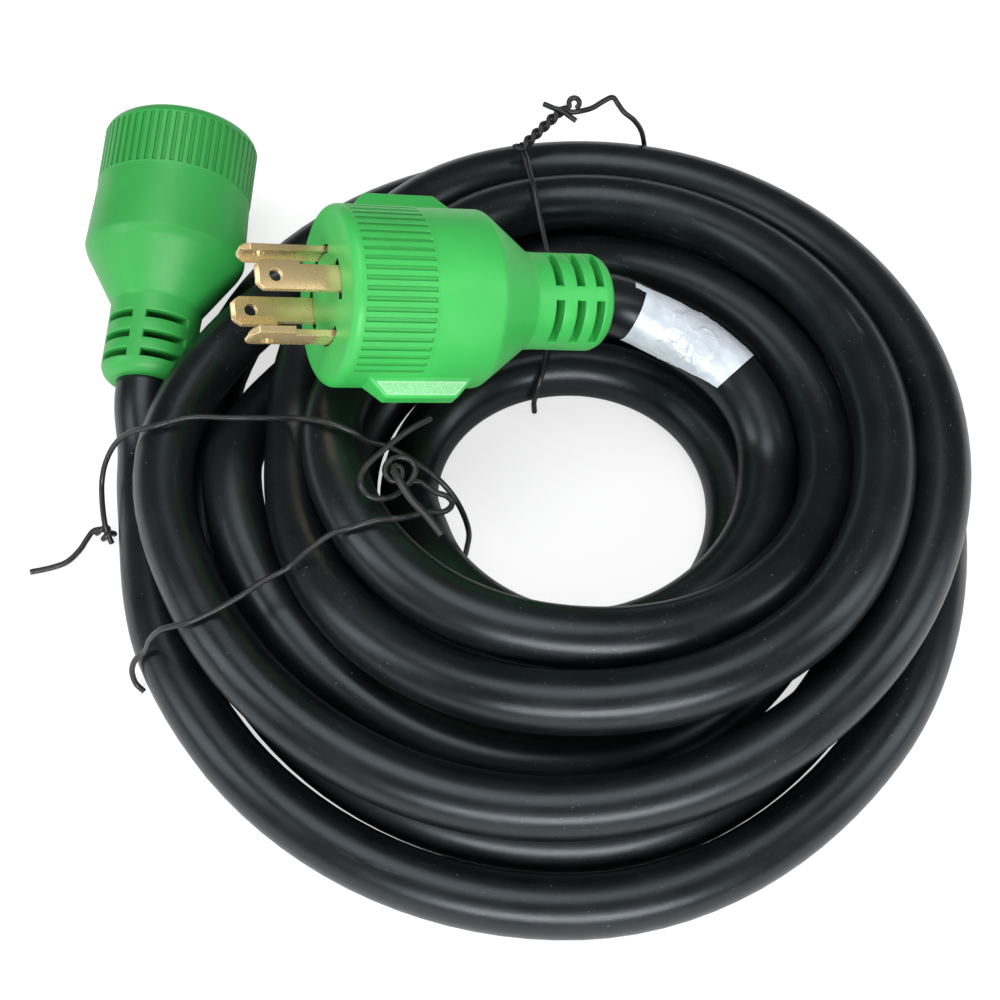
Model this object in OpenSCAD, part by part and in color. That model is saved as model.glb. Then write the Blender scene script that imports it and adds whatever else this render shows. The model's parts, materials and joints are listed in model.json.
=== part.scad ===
// Four-wire shore power cord with a locking plug and a locking connector, lying coiled.
// Millimetres, +Z up, the floor at z = 0.

/* [Cable] */
// Outside diameter of the cable's jacket
cable_d = 18.6; // [17:0.1:20]
// Outside diameter of one insulated conductor
wire_d = 4.9; // [4:0.1:5.2]
// Diameter of the bare copper in a conductor
copper_d = 3.2; // [2.4:0.1:3.4]

/* [Plug cover] */
// Diameter of the plug's head
plug_d = 53.8; // [50:0.2:64]
// Rounded plain band between the plug's face and its grip ribs
plug_lip = 4; // [3:0.1:6]
// Length of the plug's ribbed grip
plug_grip = 20.6; // [16:0.2:28]
// Plain band behind the plug's grip
plug_band = 21.6; // [16:0.2:28]
// Length of the cone behind the plug's head
plug_cone = 16.8; // [14:0.2:24]
// Height of a finger wing above the head
wing_rise = 5.4; // [3:0.2:8]
// Length of a finger wing at its foot
wing_len = 33; // [26:0.5:36]

/* [Connector cover] */
// Diameter of the connector's head
connector_d = 51; // [50:0.2:62]
// Rounded plain band at the connector's nose
connector_lip = 4.5; // [3:0.1:6]
// Length of the connector's ribbed grip
connector_grip = 16.8; // [12:0.2:24]
// Plain band behind the connector's grip
connector_band = 24.5; // [18:0.2:32]
// Length of the cone behind the connector's head
connector_cone = 19; // [14:0.2:26]
// How much wider the connector's head is at its rear
connector_flare = 0.8; // [0:0.1:2]

/* [Strain reliefs and ribs] */
// Outside diameter of a strain relief
relief_d = 29.6; // [28:0.2:36]
// Length of a strain relief
relief_len = 25.6; // [24:0.2:34]
// Width of a slot across a strain relief
relief_slot = 2.4; // [1.6:0.1:3]
// Number of grip ribs round a head
rib_count = 56; // [40:2:64]
// Width of the groove between two ribs
rib_groove = 1.1; // [0.7:0.1:1.5]
// Depth of the groove between two ribs
rib_depth = 0.7; // [0.4:0.1:1.2]

/* [Blades and contacts] */
// Radius of the circle on which the blades stand
blade_circle = 13.6; // [13:0.1:14.4]
// Thickness of a blade
blade_t = 1.9; // [1.5:0.1:2.1]
// Width of a blade at the plug's face
blade_w = 7.7; // [7:0.1:8.2]
// How far a blade's locking hook stands out sideways
blade_hook = 1.3; // [0.8:0.1:1.6]
// Length of a blade in front of the plug's face
blade_len = 25; // [22:0.5:26]
// Distance from the face to the locking hook
blade_neck = 11.6; // [10:0.2:13]
// Diameter of the hole near a blade's tip
blade_hole = 3.8; // [3:0.1:4.2]
// Gap between a blade and the slot it enters
slot_gap = 0.35; // [0.2:0.05:0.5]
// Thickness of a sprung contact's leaf
leaf_t = 0.8; // [0.6:0.1:0.9]

/* [Ties and label] */
// Diameter of a coated tie wire
tie_d = 1.8; // [1.4:0.1:2.2]
// Thickness of the wrap label
label_t = 0.3; // [0.2:0.1:0.6]

/* [Hidden] */
$fn = 96;

// Colours
cover_green = [0.27, 0.79, 0.37];
core_grey = [0.16, 0.17, 0.17];
brass = [0.79, 0.64, 0.38];
copper = [0.80, 0.45, 0.25];
jacket_black = [0.10, 0.11, 0.12];
label_silver = [0.84, 0.87, 0.90];
tie_black = [0.20, 0.20, 0.21];
wire_colours = [[0.15, 0.55, 0.25], [0.08, 0.08, 0.08], [0.90, 0.90, 0.88], [0.70, 0.10, 0.10]];

// Places are given from the coil's middle and grow with the cable, whose turns set them
cable_nominal = 18.6;
pack = cable_d / cable_nominal;
coil_mid = [23.5, 5.5];

// Fits
fit = 0.15;          // moulded bore round the jacket
core_fit = 0.1;      // cover round an inner block
blade_fit = 0.1;     // inner block round a blade
slit_over = 2.15;    // how far a slit in the plug's face runs past its blade at each end
copper_fit = 0.05;   // barrel's bore round the bare copper
label_fit = 0.3;     // label round the jacket
skin = 3;            // thickness of a cover's front wall over the plug's block

// ---------- lengths along a moulded end, counted back from its face ----------
core_d = 2 * blade_circle + 13;
core_len = 26;
barrel_d = copper_d + 2.6;
barrel_len = 9;
barrel_gap = 2.5;                                  // bare copper between barrel and insulation
bend_span = 16;                                    // length over which a wire swings inward
wire_circle = (wire_d / 2 + 0.2) * sqrt(2);        // wires side by side in the jacket
wire_entry = 3;                                    // how far a wire runs straight before it bends
jacket_entry = 3;                                  // how far the jacket stops short of the cone
hollow_taper = 20;                                 // length over which a cover's hollow narrows
edge = 1.5;                                        // length of a rounded edge along the head or relief
edge_drop = 1;                                     // and how much it lowers the surface
plug_relief_at = plug_lip + plug_grip + plug_band + plug_cone;
plug_len = plug_relief_at + relief_len;
connector_relief_at = connector_lip + connector_grip + connector_band + connector_cone;
connector_len = connector_relief_at + relief_len;
relief_rows = [relief_len - 19.4, relief_len - 12.4, relief_len - 6];  // middles of the slots behind the cone
relief_ends = [12, 64];                            // a slot's ends, in degrees from a narrow web

// ---------- poses of the moulded ends ----------
plug_face = [-74 * pack, 23 * pack, 53.3 * pack + plug_d / 2 + 0.8];
plug_lift = 19.5;
plug_heading = 193;
plug_roll = 163;
connector_heading = 85;
connector_lift = 12.1;
connector_roll = 114;
connector_r_rear = connector_d / 2 + connector_flare;
connector_rear = connector_lip + connector_grip + connector_band;
connector_face = [-130.4 * pack, 122.3 * pack,
                  connector_rear * sin(connector_lift) + connector_r_rear * cos(connector_lift)];

function heading(lift, turn) = [cos(lift) * cos(turn), cos(lift) * sin(turn), sin(lift)];
plug_dir = heading(plug_lift, plug_heading);
connector_dir = heading(connector_lift, connector_heading);

// ---------- the coil's winding ----------
// Each row is [angle, reach, rise]: degrees clockwise from the back, counted on through the turns,
// then the centre line's distance from the coil's middle and its height over the floor
right = 90;
front = 180;
left = 270;
back = 360;
function turn(count, rows) = [for (row = rows) [row[0] + 360 * count, row[1], row[2]]];
low = 7.5;           // centre line of a strand whose flattened underside lies on the floor
stations = concat(
    turn(0, [[right, 60.5, 24.5], [135, 61, 26.5], [front, 62.5, 27], [225, 56.5, 24],
             [247, 52, 15.5], [left, 52, low], [back, 47, low]]),
    turn(1, [[right, 51.5, low], [front, 62, low], [left, 71.5, low], [back, 66.3, low]]),
    turn(2, [[right, 74, low], [135, 84, 9], [front, 97, 16], [225, 101, 19], [247, 103.7, 22],
             [left, 106.5, 24.5], [281, 102.7, 17.5], [292, 98.5, 12], [315, 90, low],
             [337, 87.5, 9.5], [back, 82.5, 18.5]]),
    turn(3, [[15, 77.5, 25], [45, 77, 29], [right, 79, 31], [135, 76, 40.5], [front, 71, 45.5],
             [225, 71.8, 46], [247, 73, 46], [left, 74, 45], [281, 72.6, 43.5], [292, 72.5, 38],
             [315, 77.5, 35.5], [337, 90.5, 35], [back, 96.5, 32.5]]),
    turn(4, [[45, 94, 38.5], [right, 93, 44.5], [135, 94.2, 47.5], [front, 90.3, 44.3],
             [225, 89.5, 37], [247, 88, 33], [left, 86.5, 30], [281, 88.2, 31.6], [292, 91.5, 31],
             [315, 99, 33], [337, 111, 29.5], [back, 115.6, 27]]),
    turn(5, [[45, 113, 33], [right, 111.3, 37], [135, 111, 33], [front, 115, 27],
             [247, 123.5, 28], [left, 127, 28], [292, 118, 27], [315, 111.3, 16.5], [337, 107, 9.5],
             [back, 106, low]]),
    turn(6, [[right, 96, low], [135, 105, low], [front, 117.5, low], [left, 117, low],
             [281, 120.5, low], [292, 124.5, low], [315, 128.8, low], [back, 126, low]]),
    turn(7, [[right, 115.5, low], [135, 124.5, low], [front, 137, low], [left, 136.2, low]]));
last_station = len(stations) - 1;

function slope(k, c) =
    let (before = stations[max(0, k - 1)], after = stations[min(last_station, k + 1)])
    (after[c] - before[c]) / (after[0] - before[0]);
function cubic(t, p, q, m, n) =
    (2 * t ^ 3 - 3 * t ^ 2 + 1) * p + (t ^ 3 - 2 * t ^ 2 + t) * m
    + (3 * t ^ 2 - 2 * t ^ 3) * q + (t ^ 3 - t ^ 2) * n;
function span_at(a) = min(last_station - 1, len([for (row = stations) if (row[0] <= a) 1]) - 1);
function winding(a, c) =
    let (k = span_at(a), p = stations[k], q = stations[k + 1], step = q[0] - p[0])
    cubic((a - p[0]) / step, p[c], q[c], slope(k, c) * step, slope(k + 1, c) * step);
function coil_point(a) =
    let (reach = winding(a, 1), rise = max(winding(a, 2), low))
    pack * [reach * sin(a), reach * cos(a), rise];

coil_start = stations[0][0];
coil_end = stations[last_station][0];
first_step = 18;     // the first turn's rings stand a whole diameter apart
first_rings = 5;
ring_step = 15;
coil_angles = concat([for (k = [0 : first_rings - 1]) coil_start + k * first_step],
                     [for (a = [coil_start + first_rings * first_step : ring_step : coil_end]) a]);
coil_path = [for (a = coil_angles) coil_point(a)];
coil_sides = 6;
lead_sides = 12;
tie_sides = 8;

// Least gap between two strands, on points along the tube's straight pieces
probe = [for (k = [0 : len(coil_path) - 2], t = [0, 0.25, 0.5, 0.75])
             concat(coil_path[k] * (1 - t) + coil_path[k + 1] * t, coil_angles[k])];
function apart(p, q) = norm([p[0] - q[0], p[1] - q[1], p[2] - q[2]]);
own_gap = min([for (i = [0 : len(probe) - 1]) for (j = [i + 60 : len(probe) - 1])
                   if (abs(probe[i][2] - probe[j][2]) < 2 * cable_d) apart(probe[i], probe[j])]) - cable_d;
coil_length = norm_sum(coil_path, len(coil_path) - 1);
function norm_sum(path, k) = k == 0 ? 0 : norm(path[k] - path[k - 1]) + norm_sum(path, k - 1);

// ---------- free stretches, hand-placed between the ends and the coil ----------
function back_from(face, dir, s) = face - s * dir;
plug_jacket_at = plug_relief_at + jacket_entry;    // where the jacket ends inside the cover
connector_jacket_at = connector_relief_at + jacket_entry;
plug_exit = back_from(plug_face, plug_dir, plug_len);
connector_exit = back_from(connector_face, connector_dir, connector_len);
plug_lead_middle = [[25.5, 39.5, 44], [35, 35.5, 40], [44, 30.5, 36.5], [52.5, 23, 32.5],
                    [58.5, 12.5, 28.5]];
plug_lead_path = concat([back_from(plug_face, plug_dir, plug_jacket_at), plug_exit,
                         back_from(plug_face, plug_dir, plug_len + 5)],
                        pack * plug_lead_middle);
connector_lead_middle = [[-136.7, 13, 9.5]];
connector_lead_path = concat(pack * connector_lead_middle,
                             [back_from(connector_face, connector_dir, connector_len + 6),
                              connector_exit,
                              back_from(connector_face, connector_dir, connector_jacket_at)]);

cable_path = concat(plug_lead_path, coil_path, connector_lead_path);

// ---------- ties, hand-placed over the strands ----------
tie_upper_path = [[-171.6, -25.5, 1], [-164.4, -23.9, 1.5], [-156, -19.4, 3], [-152.3, -15.8, 5],
                  [-149.5, -13, 7.5], [-148.5, -8.5, 10.5], [-149.5, -2.5, 14], [-148, 2.5, 19],
                  [-144, 6, 26], [-138, 5.5, 33], [-129.4, 4, 39.5], [-118, 7, 40], [-105.8, 6.5, 40.5],
                  [-98.8, 6.3, 40.8], [-90.5, 5, 43], [-82.5, -1, 52], [-76.4, -4.8, 56.5],
                  [-71.9, -6.4, 57], [-67, -7.8, 55.5], [-62.5, -8.2, 50], [-57.6, -7.3, 46],
                  [-52, -8.5, 42.5], [-46.5, -11.5, 40], [-40.5, -15, 37], [-36.5, -17.8, 31],
                  [-34, -20, 24], [-33, -21.8, 14], [-34, -23.1, 2]];
tie_lower_path = [[-131.5, -67.5, 1], [-134, -65.5, 3], [-134.5, -63.5, 8], [-132.7, -62.3, 13],
                  [-129, -61.8, 18], [-126.5, -61.5, 25], [-122, -61.5, 32], [-113.5, -62, 37.5],
                  [-105.2, -58.8, 39.5], [-98.5, -55.3, 41], [-92, -50.9, 42], [-84.8, -47, 43],
                  [-78.5, -44.5, 49], [-71.5, -41.8, 54], [-65.2, -41.2, 57], [-58.3, -39.2, 57.8],
                  [-52.5, -36.2, 55], [-47.2, -33.5, 52], [-42.1, -30.1, 48], [-37.8, -27.7, 45],
                  [-35.8, -24.2, 43], [-38.8, -20.8, 43], [-43.9, -18.6, 45], [-48.4, -16, 47.5],
                  [-52.3, -13.2, 49.5], [-56.4, -13.2, 52], [-58.5, -17, 55], [-56.5, -21, 57.5],
                  [-51.5, -22, 58]];
tie_back_path = [[25.5, 132.5, 2], [26.5, 133, 12], [26.5, 130, 22], [26, 126, 31], [23.5, 125, 40],
                 [19.5, 125.5, 44.5], [15.5, 126.5, 47.5], [10.5, 125.5, 49], [5, 123.5, 49],
                 [-0.5, 122, 48.5], [-5.5, 121, 47.5], [-10.5, 119.5, 45], [-15, 115.5, 41.5],
                 [-16.5, 110.5, 40], [-14.7, 103, 42.5], [-12.3, 93.5, 44.5], [-10.5, 84, 41],
                 [-9.5, 76, 36.5], [-9, 67.5, 31], [-8.8, 60, 27], [-8.7, 53, 23], [-8.8, 46, 19.4],
                 [-9.3, 39.6, 17.6], [-10, 34.8, 13.6], [-10.5, 33.8, 7], [-10.8, 33.8, 1.5]];

// ---------- label ----------
label_turn = [20, 200];                            // where its sheet starts and ends round the jacket
label_facets = 9;
label_steps = [2, 3, 4, 5, 6];                     // points of the plug's lead that it covers

// ================= shared forms =================
module on_coil() translate([coil_mid[0], coil_mid[1], 0]) children();
module at_plug() on_coil() translate(plug_face)
    rotate([0, 90 - plug_lift, plug_heading]) rotate([0, 0, plug_roll]) children();
module at_connector() on_coil() translate(connector_face)
    rotate([0, 90 - connector_lift, connector_heading]) rotate([0, 0, connector_roll]) children();

// A tube: rings of a cross-section, square to the path, never below the floor
function unit(v) = v / norm(v);
function ahead(path, k) = unit(path[min(len(path) - 1, k + 1)] - path[max(0, k - 1)]);
function aside(t) = unit(cross(t, [0, 0, 1]));
function placed(at, t, u, section) = let (s = cross(t, u)) [for (q = section) at + q[0] * s + q[1] * u];
function floored(points) = [for (p = points) [p[0], p[1], max(0, p[2])]];
function level_ring(path, k, section) =
    let (t = ahead(path, k)) floored(placed(path[k], t, cross(aside(t), t), section));
function square_to(u, t) = unit(u - (u * t) * t);
start_up = [0.8, 0.1, 0.6];
function carried_rings(path, section) =
    [for (k = 0, u = square_to(start_up, ahead(path, 0)); k < len(path);
          k = k + 1, u = square_to(u, ahead(path, min(k, len(path) - 1))))
         each placed(path[k], ahead(path, k), u, section)];
function round_section(r, sides) =
    [for (k = [0 : sides - 1]) r * [cos(360 * k / sides), sin(360 * k / sides)]];
function fan(first, n) = [for (k = [1 : n - 2]) [first, first + k + 1, first + k]];
function fan_back(first, n) = [for (k = [1 : n - 2]) [first, first + k, first + k + 1]];
function skin_faces(rings, n) = [for (i = [0 : rings - 2]) for (k = [0 : n - 1])
    let (a = i * n + k, b = i * n + (k + 1) % n) each [[a, b, b + n], [a, b + n, a + n]]];
module skinned(points, sides) {
    rings = len(points) / sides;
    polyhedron(points, concat(fan(0, sides), skin_faces(rings, sides), fan_back((rings - 1) * sides, sides)));
}
// One stretch of the cable, from ring to ring of its whole path
module stretch(from, to, sides) color(jacket_black) on_coil()
    skinned([for (k = [from : to]) each level_ring(cable_path, k, round_section(cable_d / 2, sides))], sides);

// A solid of revolution that runs back from a face; each point is [distance back, radius]
module turned(outline) rotate_extrude() polygon([for (p = outline) [p[1], -p[0]]]);
function nose_arc(r, lip) = [for (a = [0 : 15 : 90]) [lip * (1 - sin(a)), r - lip * (1 - cos(a))]];
function reverse(list) = [for (k = [len(list) - 1 : -1 : 0]) list[k]];

// A groove between two ribs, cut radially with rounded ends
module grooves(r, from, length, keep_clear) {
    for (k = [0 : rib_count - 1]) {
        a = (k + 0.5) * 360 / rib_count;
        if (min(abs(a - 90), abs(a - 270)) > keep_clear) rotate([0, 0, a])
            translate([r - rib_depth, 0, -from - length / 2]) rotate([0, 90, 0]) linear_extrude(3) {
                square([length - rib_groove, rib_groove], center = true);
                for (s = [-1, 1]) translate([s * (length - rib_groove) / 2, 0]) circle(d = rib_groove);
            }
    }
}

// The slots of a strain relief: three rows of four, in pairs beside two narrow webs
module relief_cuts(relief_at) {
    for (row = relief_rows) for (base = [0, 180]) for (side = [0, 1]) rotate([0, 0, base]) mirror([0, side, 0])
        translate([0, 0, -relief_at - row - relief_slot / 2]) rotate([0, 0, relief_ends[0]])
            rotate_extrude(angle = relief_ends[1] - relief_ends[0])
                translate([cable_d / 2 - 1, 0]) square([relief_d, relief_slot]);
}

// Hollow of a cover: the block, the wires' bends and the bore for the jacket
module cover_hollow(block_at, relief_at, length) {
    bore_r = cable_d / 2 + fit;
    block_r = core_d / 2 + core_fit;
    turned([[block_at, 0], [block_at, block_r], [relief_at + 1 - hollow_taper, block_r], [relief_at + 1, bore_r],
            [length + 1, bore_r], [length + 1, 0]]);
}

// A finger wing: a ridge along the head that slopes at both ends and on both sides
wing_at = 9;                                       // from the plug's face to a wing's foot
wing_slope = 5.5;                                  // length of the slope at each end
wing_foot = 8.4;                                   // widths at its foot and along its crest
wing_crest = 4.8;
module finger_wing() {
    r = plug_d / 2;
    near = -wing_at;
    far = -wing_at - wing_len;
    intersection() {
        rotate([90, 0, 90]) linear_extrude(wing_foot + 1, center = true)
            polygon([[r - 2, near], [r, near], [r + wing_rise, near - wing_slope],
                     [r + wing_rise, far + wing_slope], [r, far], [r - 2, far]]);
        translate([0, 0, far]) linear_extrude(wing_len)
            polygon([[-wing_foot / 2, r - 2], [-wing_foot / 2, r - 0.5], [-wing_crest / 2, r + wing_rise],
                     [wing_crest / 2, r + wing_rise], [wing_foot / 2, r - 0.5], [wing_foot / 2, r - 2]]);
    }
}

// A plate as thick as it needs to be to meet the blades' circle, drawn as seen from outside
module pole_plate() translate([blade_circle / 2, 0, 0]) rotate([90, 0, 90])
    linear_extrude(blade_circle) children();
// Flat outline of a blade, seen from outside: the hook stands out towards +x
module blade_outline(tail, hook) {
    w = blade_w / 2;
    polygon([[-w, -tail], [w, -tail], [w, blade_neck], [w + hook, blade_neck],
             [w + hook, blade_len - 2.6], [w + hook - 2, blade_len], [-w + 1.7, blade_len],
             [-w, blade_len - 2.4]]);
}
// A curved band round the blades' circle
module band(r_in, r_out, z_low, z_high) translate([0, 0, z_low]) difference() {
    cylinder(r = r_out, h = z_high - z_low);
    translate([0, 0, -1]) cylinder(r = r_in, h = z_high - z_low + 2);
}
module blade() {
    r_in = blade_circle - blade_t / 2;
    r_out = blade_circle + blade_t / 2;
    tail = skin + core_len + 3;
    difference() {
        union() {
            intersection() {
                rotate_extrude() polygon([[r_in, -tail], [r_out, -tail], [r_out, blade_len - 1],
                    [r_out - 0.5, blade_len], [r_in + 0.5, blade_len], [r_in, blade_len - 1]]);
                pole_plate() blade_outline(tail, blade_hook);
            }
            translate([blade_circle, 0, -tail - barrel_len + 1]) cylinder(d = barrel_d, h = barrel_len);
        }
        translate([0, 0.2, blade_len - 5.8]) rotate([0, 90, 0]) cylinder(d = blade_hole, h = 20);
        translate([blade_circle, 0, -tail - barrel_len])
            cylinder(d = copper_d + 2 * copper_fit, h = barrel_len - 1);
    }
}
// The ground blade also has a key turned inward along its hooked edge
module ground_key() {
    r_in = blade_circle - blade_t / 2;
    w = blade_w / 2 + blade_hook;
    translate([r_in - 1.6, w - 1.7, blade_neck]) cube([2.2, 1.4, blade_len - blade_neck - 3]);
}
module at_pole(k) rotate([0, 0, 90 * k]) children();

// An insulated wire from a barrel to the jacket's end: it starts at z = 0 on the blades' circle,
// swings inward in an even S and runs down to the jacket
wire_sides = 12;
wire_rings = 9;
function eased(t) = t * t * (3 - 2 * t);
module wire(drop) {
    span = min(bend_span, drop - 2 * wire_entry);
    swing = [for (k = [0 : wire_rings - 1]) let (t = k / (wire_rings - 1))
                 [blade_circle + (wire_circle - blade_circle) * eased(t), 0, -wire_entry - span * t]];
    skinned(carried_rings(concat([[blade_circle, 0, 0]], swing, [[wire_circle, 0, -drop]]),
                          round_section(wire_d / 2, wire_sides)), wire_sides);
}

// ================= plug =================
plug_barrel_end = skin + core_len + 3 + barrel_len - 1;
plug_wire_at = plug_barrel_end + barrel_gap;

module plug_body() color(cover_green) at_plug() {
    r = plug_d / 2;
    relief_r = relief_d / 2;
    difference() {
        union() {
            turned(concat([[0, 0]], reverse(nose_arc(r, plug_lip * 0.7)),
                          [[plug_relief_at - plug_cone, r], [plug_relief_at - plug_cone + edge, r - edge_drop],
                           [plug_relief_at - 1, relief_r + 0.2], [plug_relief_at, relief_r],
                           [plug_len - 4, relief_r + 0.2], [plug_len - edge, relief_r - edge_drop],
                           [plug_len, relief_r - 3 * edge_drop], [plug_len, 0]]));
            for (s = [0, 180]) rotate([0, 0, s]) finger_wing();
        }
        cover_hollow(skin, plug_relief_at, plug_len);
        grooves(r, plug_lip, plug_grip, 12);
        relief_cuts(plug_relief_at);
        for (k = [0 : 3]) at_pole(k) face_slit();
    }
}
// Slit in the plug's face round one blade, longer than the blade on both sides
module face_slit() intersection() {
    band(blade_circle - blade_t / 2 - slot_gap, blade_circle + blade_t / 2 + slot_gap, -skin - 1, 1);
    pole_plate() translate([-blade_w / 2 - slit_over, -skin - 1])
        square([blade_w + 2 * slit_over, skin + 2]);
}
module plug_core() color(core_grey) at_plug() difference() {
    translate([0, 0, -skin - core_len]) cylinder(d = core_d, h = core_len - 0.05);
    for (k = [0 : 3]) at_pole(k) intersection() {
        band(blade_circle - blade_t / 2 - blade_fit, blade_circle + blade_t / 2 + blade_fit,
             -skin - core_len - 1, 1);
        pole_plate() translate([-blade_w / 2 - blade_fit, -skin - core_len - 1])
            square([blade_w + 2 * blade_fit, core_len + skin + 2]);
    }
}
module blade_ground() color(brass) at_plug() at_pole(0) union() {
    blade();
    ground_key();
}
module blade_line_x() color(brass) at_plug() at_pole(1) blade();
module blade_neutral() color(brass) at_plug() at_pole(2) blade();
module blade_line_y() color(brass) at_plug() at_pole(3) blade();

module plug_wire(k) color(wire_colours[k]) at_plug() at_pole(k)
    translate([0, 0, -plug_wire_at]) wire(plug_jacket_at - plug_wire_at);
module plug_wire_green() plug_wire(0);
module plug_wire_black() plug_wire(1);
module plug_wire_white() plug_wire(2);
module plug_wire_red() plug_wire(3);
module plug_copper_ends() color(copper) at_plug() for (k = [0 : 3]) at_pole(k)
    translate([blade_circle, 0, -plug_wire_at]) cylinder(d = copper_d, h = barrel_gap + barrel_len - 2);

// ================= connector =================
connector_block_at = 1.5;                          // the block's face lies just inside the nose
tip_room = 1.2;                                    // left in front of a blade that is fully home
contact_web = 2.5;                                 // brass that joins a contact's two leaves
contact_depth = blade_len + tip_room - connector_block_at;
connector_core_len = contact_depth + contact_web + 1.8;
contact_barrel_at = connector_block_at + connector_core_len + 2;
connector_wire_at = contact_barrel_at + barrel_len + barrel_gap;
twist = 16;                                        // the turn that locks the plug

module connector_body() color(cover_green) at_connector() {
    r = connector_d / 2;
    rear_r = connector_r_rear;
    relief_r = relief_d / 2;
    difference() {
        turned(concat([[0, 0]], reverse(nose_arc(r, connector_lip)),
                      [[connector_lip + connector_grip, r], [connector_rear - 1, rear_r],
                       [connector_rear, rear_r], [connector_rear + edge, rear_r - edge_drop],
                       [connector_relief_at - 1, relief_r + 0.2], [connector_relief_at, relief_r],
                       [connector_len - 4, relief_r + 0.4], [connector_len - edge, relief_r - edge_drop],
                       [connector_len, relief_r - 3 * edge_drop], [connector_len, 0]]));
        cover_hollow(-1, connector_relief_at, connector_len);
        grooves(r, connector_lip + 0.6, connector_grip - 1.4, 0);
        relief_cuts(connector_relief_at);
    }
}
// The block has four curved slots, and behind each a pocket where the blade turns to lock
module connector_core() color(core_grey) at_connector() difference() {
    translate([0, 0, -connector_block_at - connector_core_len]) cylinder(d = core_d, h = connector_core_len);
    for (k = [0 : 3]) at_pole(k) mirror([0, 1, 0]) {
        arc_cut(blade_t / 2 + slot_gap, slot_from, slot_to, 0, 4);
        arc_cut(blade_t / 2 + slot_gap + leaf_t + 0.4, slot_from, slot_to + twist, 3.5,
                contact_depth + contact_web + 0.5);
        translate([blade_circle, 0, -connector_block_at - connector_core_len - 1])
            cylinder(d = barrel_d + 0.4, h = 10);
    }
}
slot_from = -asin((blade_w / 2 + slot_gap) / blade_circle);
slot_to = asin((blade_w / 2 + blade_hook + slot_gap) / blade_circle);
module arc_cut(half, from, to, near, far) translate([0, 0, -connector_block_at - far])
    rotate([0, 0, from]) rotate_extrude(angle = to - from)
        translate([blade_circle - half, 0]) square([2 * half, far - near + (near == 0 ? 1 : 0)]);

// A sprung contact: two curved leaves on a web, and a barrel for the conductor
module contact() mirror([0, 1, 0]) {
    gap_half = blade_t / 2 + slot_gap / 2;
    difference() {
        union() {
            arc_cut(gap_half + leaf_t, slot_from + 3, slot_to + twist - 3, 5, contact_depth + contact_web);
            translate([blade_circle, 0, -contact_barrel_at - barrel_len])
                cylinder(d = barrel_d, h = barrel_len + connector_core_len - contact_depth + 0.5);
        }
        arc_cut(gap_half, slot_from, slot_to + twist, 4, contact_depth);
        translate([blade_circle, 0, -contact_barrel_at - barrel_len - 1])
            cylinder(d = copper_d + 2 * copper_fit, h = barrel_len);
    }
}
module contact_ground() color(brass) at_connector() at_pole(0) contact();
module contact_line_y() color(brass) at_connector() at_pole(1) contact();
module contact_neutral() color(brass) at_connector() at_pole(2) contact();
module contact_line_x() color(brass) at_connector() at_pole(3) contact();

module connector_wire(pole, k) color(wire_colours[k]) at_connector() at_pole(pole)
    translate([0, 0, -connector_wire_at]) wire(connector_jacket_at - connector_wire_at);
module connector_wire_green() connector_wire(0, 0);
module connector_wire_red() connector_wire(1, 3);
module connector_wire_white() connector_wire(2, 2);
module connector_wire_black() connector_wire(3, 1);
module connector_copper_ends() color(copper) at_connector() for (k = [0 : 3]) at_pole(k)
    translate([blade_circle, 0, -connector_wire_at]) cylinder(d = copper_d, h = barrel_gap + barrel_len - 2);

// ================= cable, label and ties =================
coil_first = len(plug_lead_path);
coil_last = coil_first + len(coil_path) - 1;
module cable_plug_lead() stretch(0, coil_first, lead_sides);
module cable_coil() stretch(coil_first, coil_last, coil_sides);
module cable_connector_lead() stretch(coil_last, len(cable_path) - 1, lead_sides);

// The label's sheet lies over the jacket's upper side, open underneath
module cord_label() color(label_silver) on_coil() {
    r = cable_d / 2 + label_fit;
    turns = [for (k = [0 : label_facets]) label_turn[0] + (label_turn[1] - label_turn[0]) * k / label_facets];
    outer = [for (a = turns) (r + label_t) * [cos(a), sin(a)]];
    inner = [for (a = reverse(turns)) r * [cos(a), sin(a)]];
    section = concat(outer, inner);
    n = len(section);
    rings = len(label_steps);
    last = (rings - 1) * n;
    polyhedron(points = [for (k = label_steps) each level_ring(cable_path, k, section)],
               faces = concat([for (k = [0 : label_facets - 1])
                                   each [[k, n - 2 - k, k + 1], [k, n - 1 - k, n - 2 - k]]],
                              skin_faces(rings, n),
                              [for (k = [0 : label_facets - 1])
                                   each [[last + k, last + k + 1, last + n - 2 - k],
                                         [last + k, last + n - 2 - k, last + n - 1 - k]]]));
}

module tie(path) color(tie_black) on_coil()
    skinned(floored(carried_rings(pack * path, round_section(tie_d / 2, tie_sides))), tie_sides);
module tie_back() tie(tie_back_path);
module tie_left_upper() tie(tie_upper_path);
module tie_left_lower() tie(tie_lower_path);

echo(coil_least_gap = own_gap, coil_length = coil_length);

plug_body();
plug_core();
blade_ground();
blade_line_x();
blade_neutral();
blade_line_y();
plug_wire_green();
plug_wire_black();
plug_wire_white();
plug_wire_red();
plug_copper_ends();
connector_body();
connector_core();
contact_ground();
contact_line_x();
contact_neutral();
contact_line_y();
connector_wire_green();
connector_wire_black();
connector_wire_white();
connector_wire_red();
connector_copper_ends();
cable_plug_lead();
cable_coil();
cable_connector_lead();
cord_label();
tie_back();
tie_left_upper();
tie_left_lower();
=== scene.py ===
"""Looks of a coiled four-wire shore power cord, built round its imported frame."""

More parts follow.
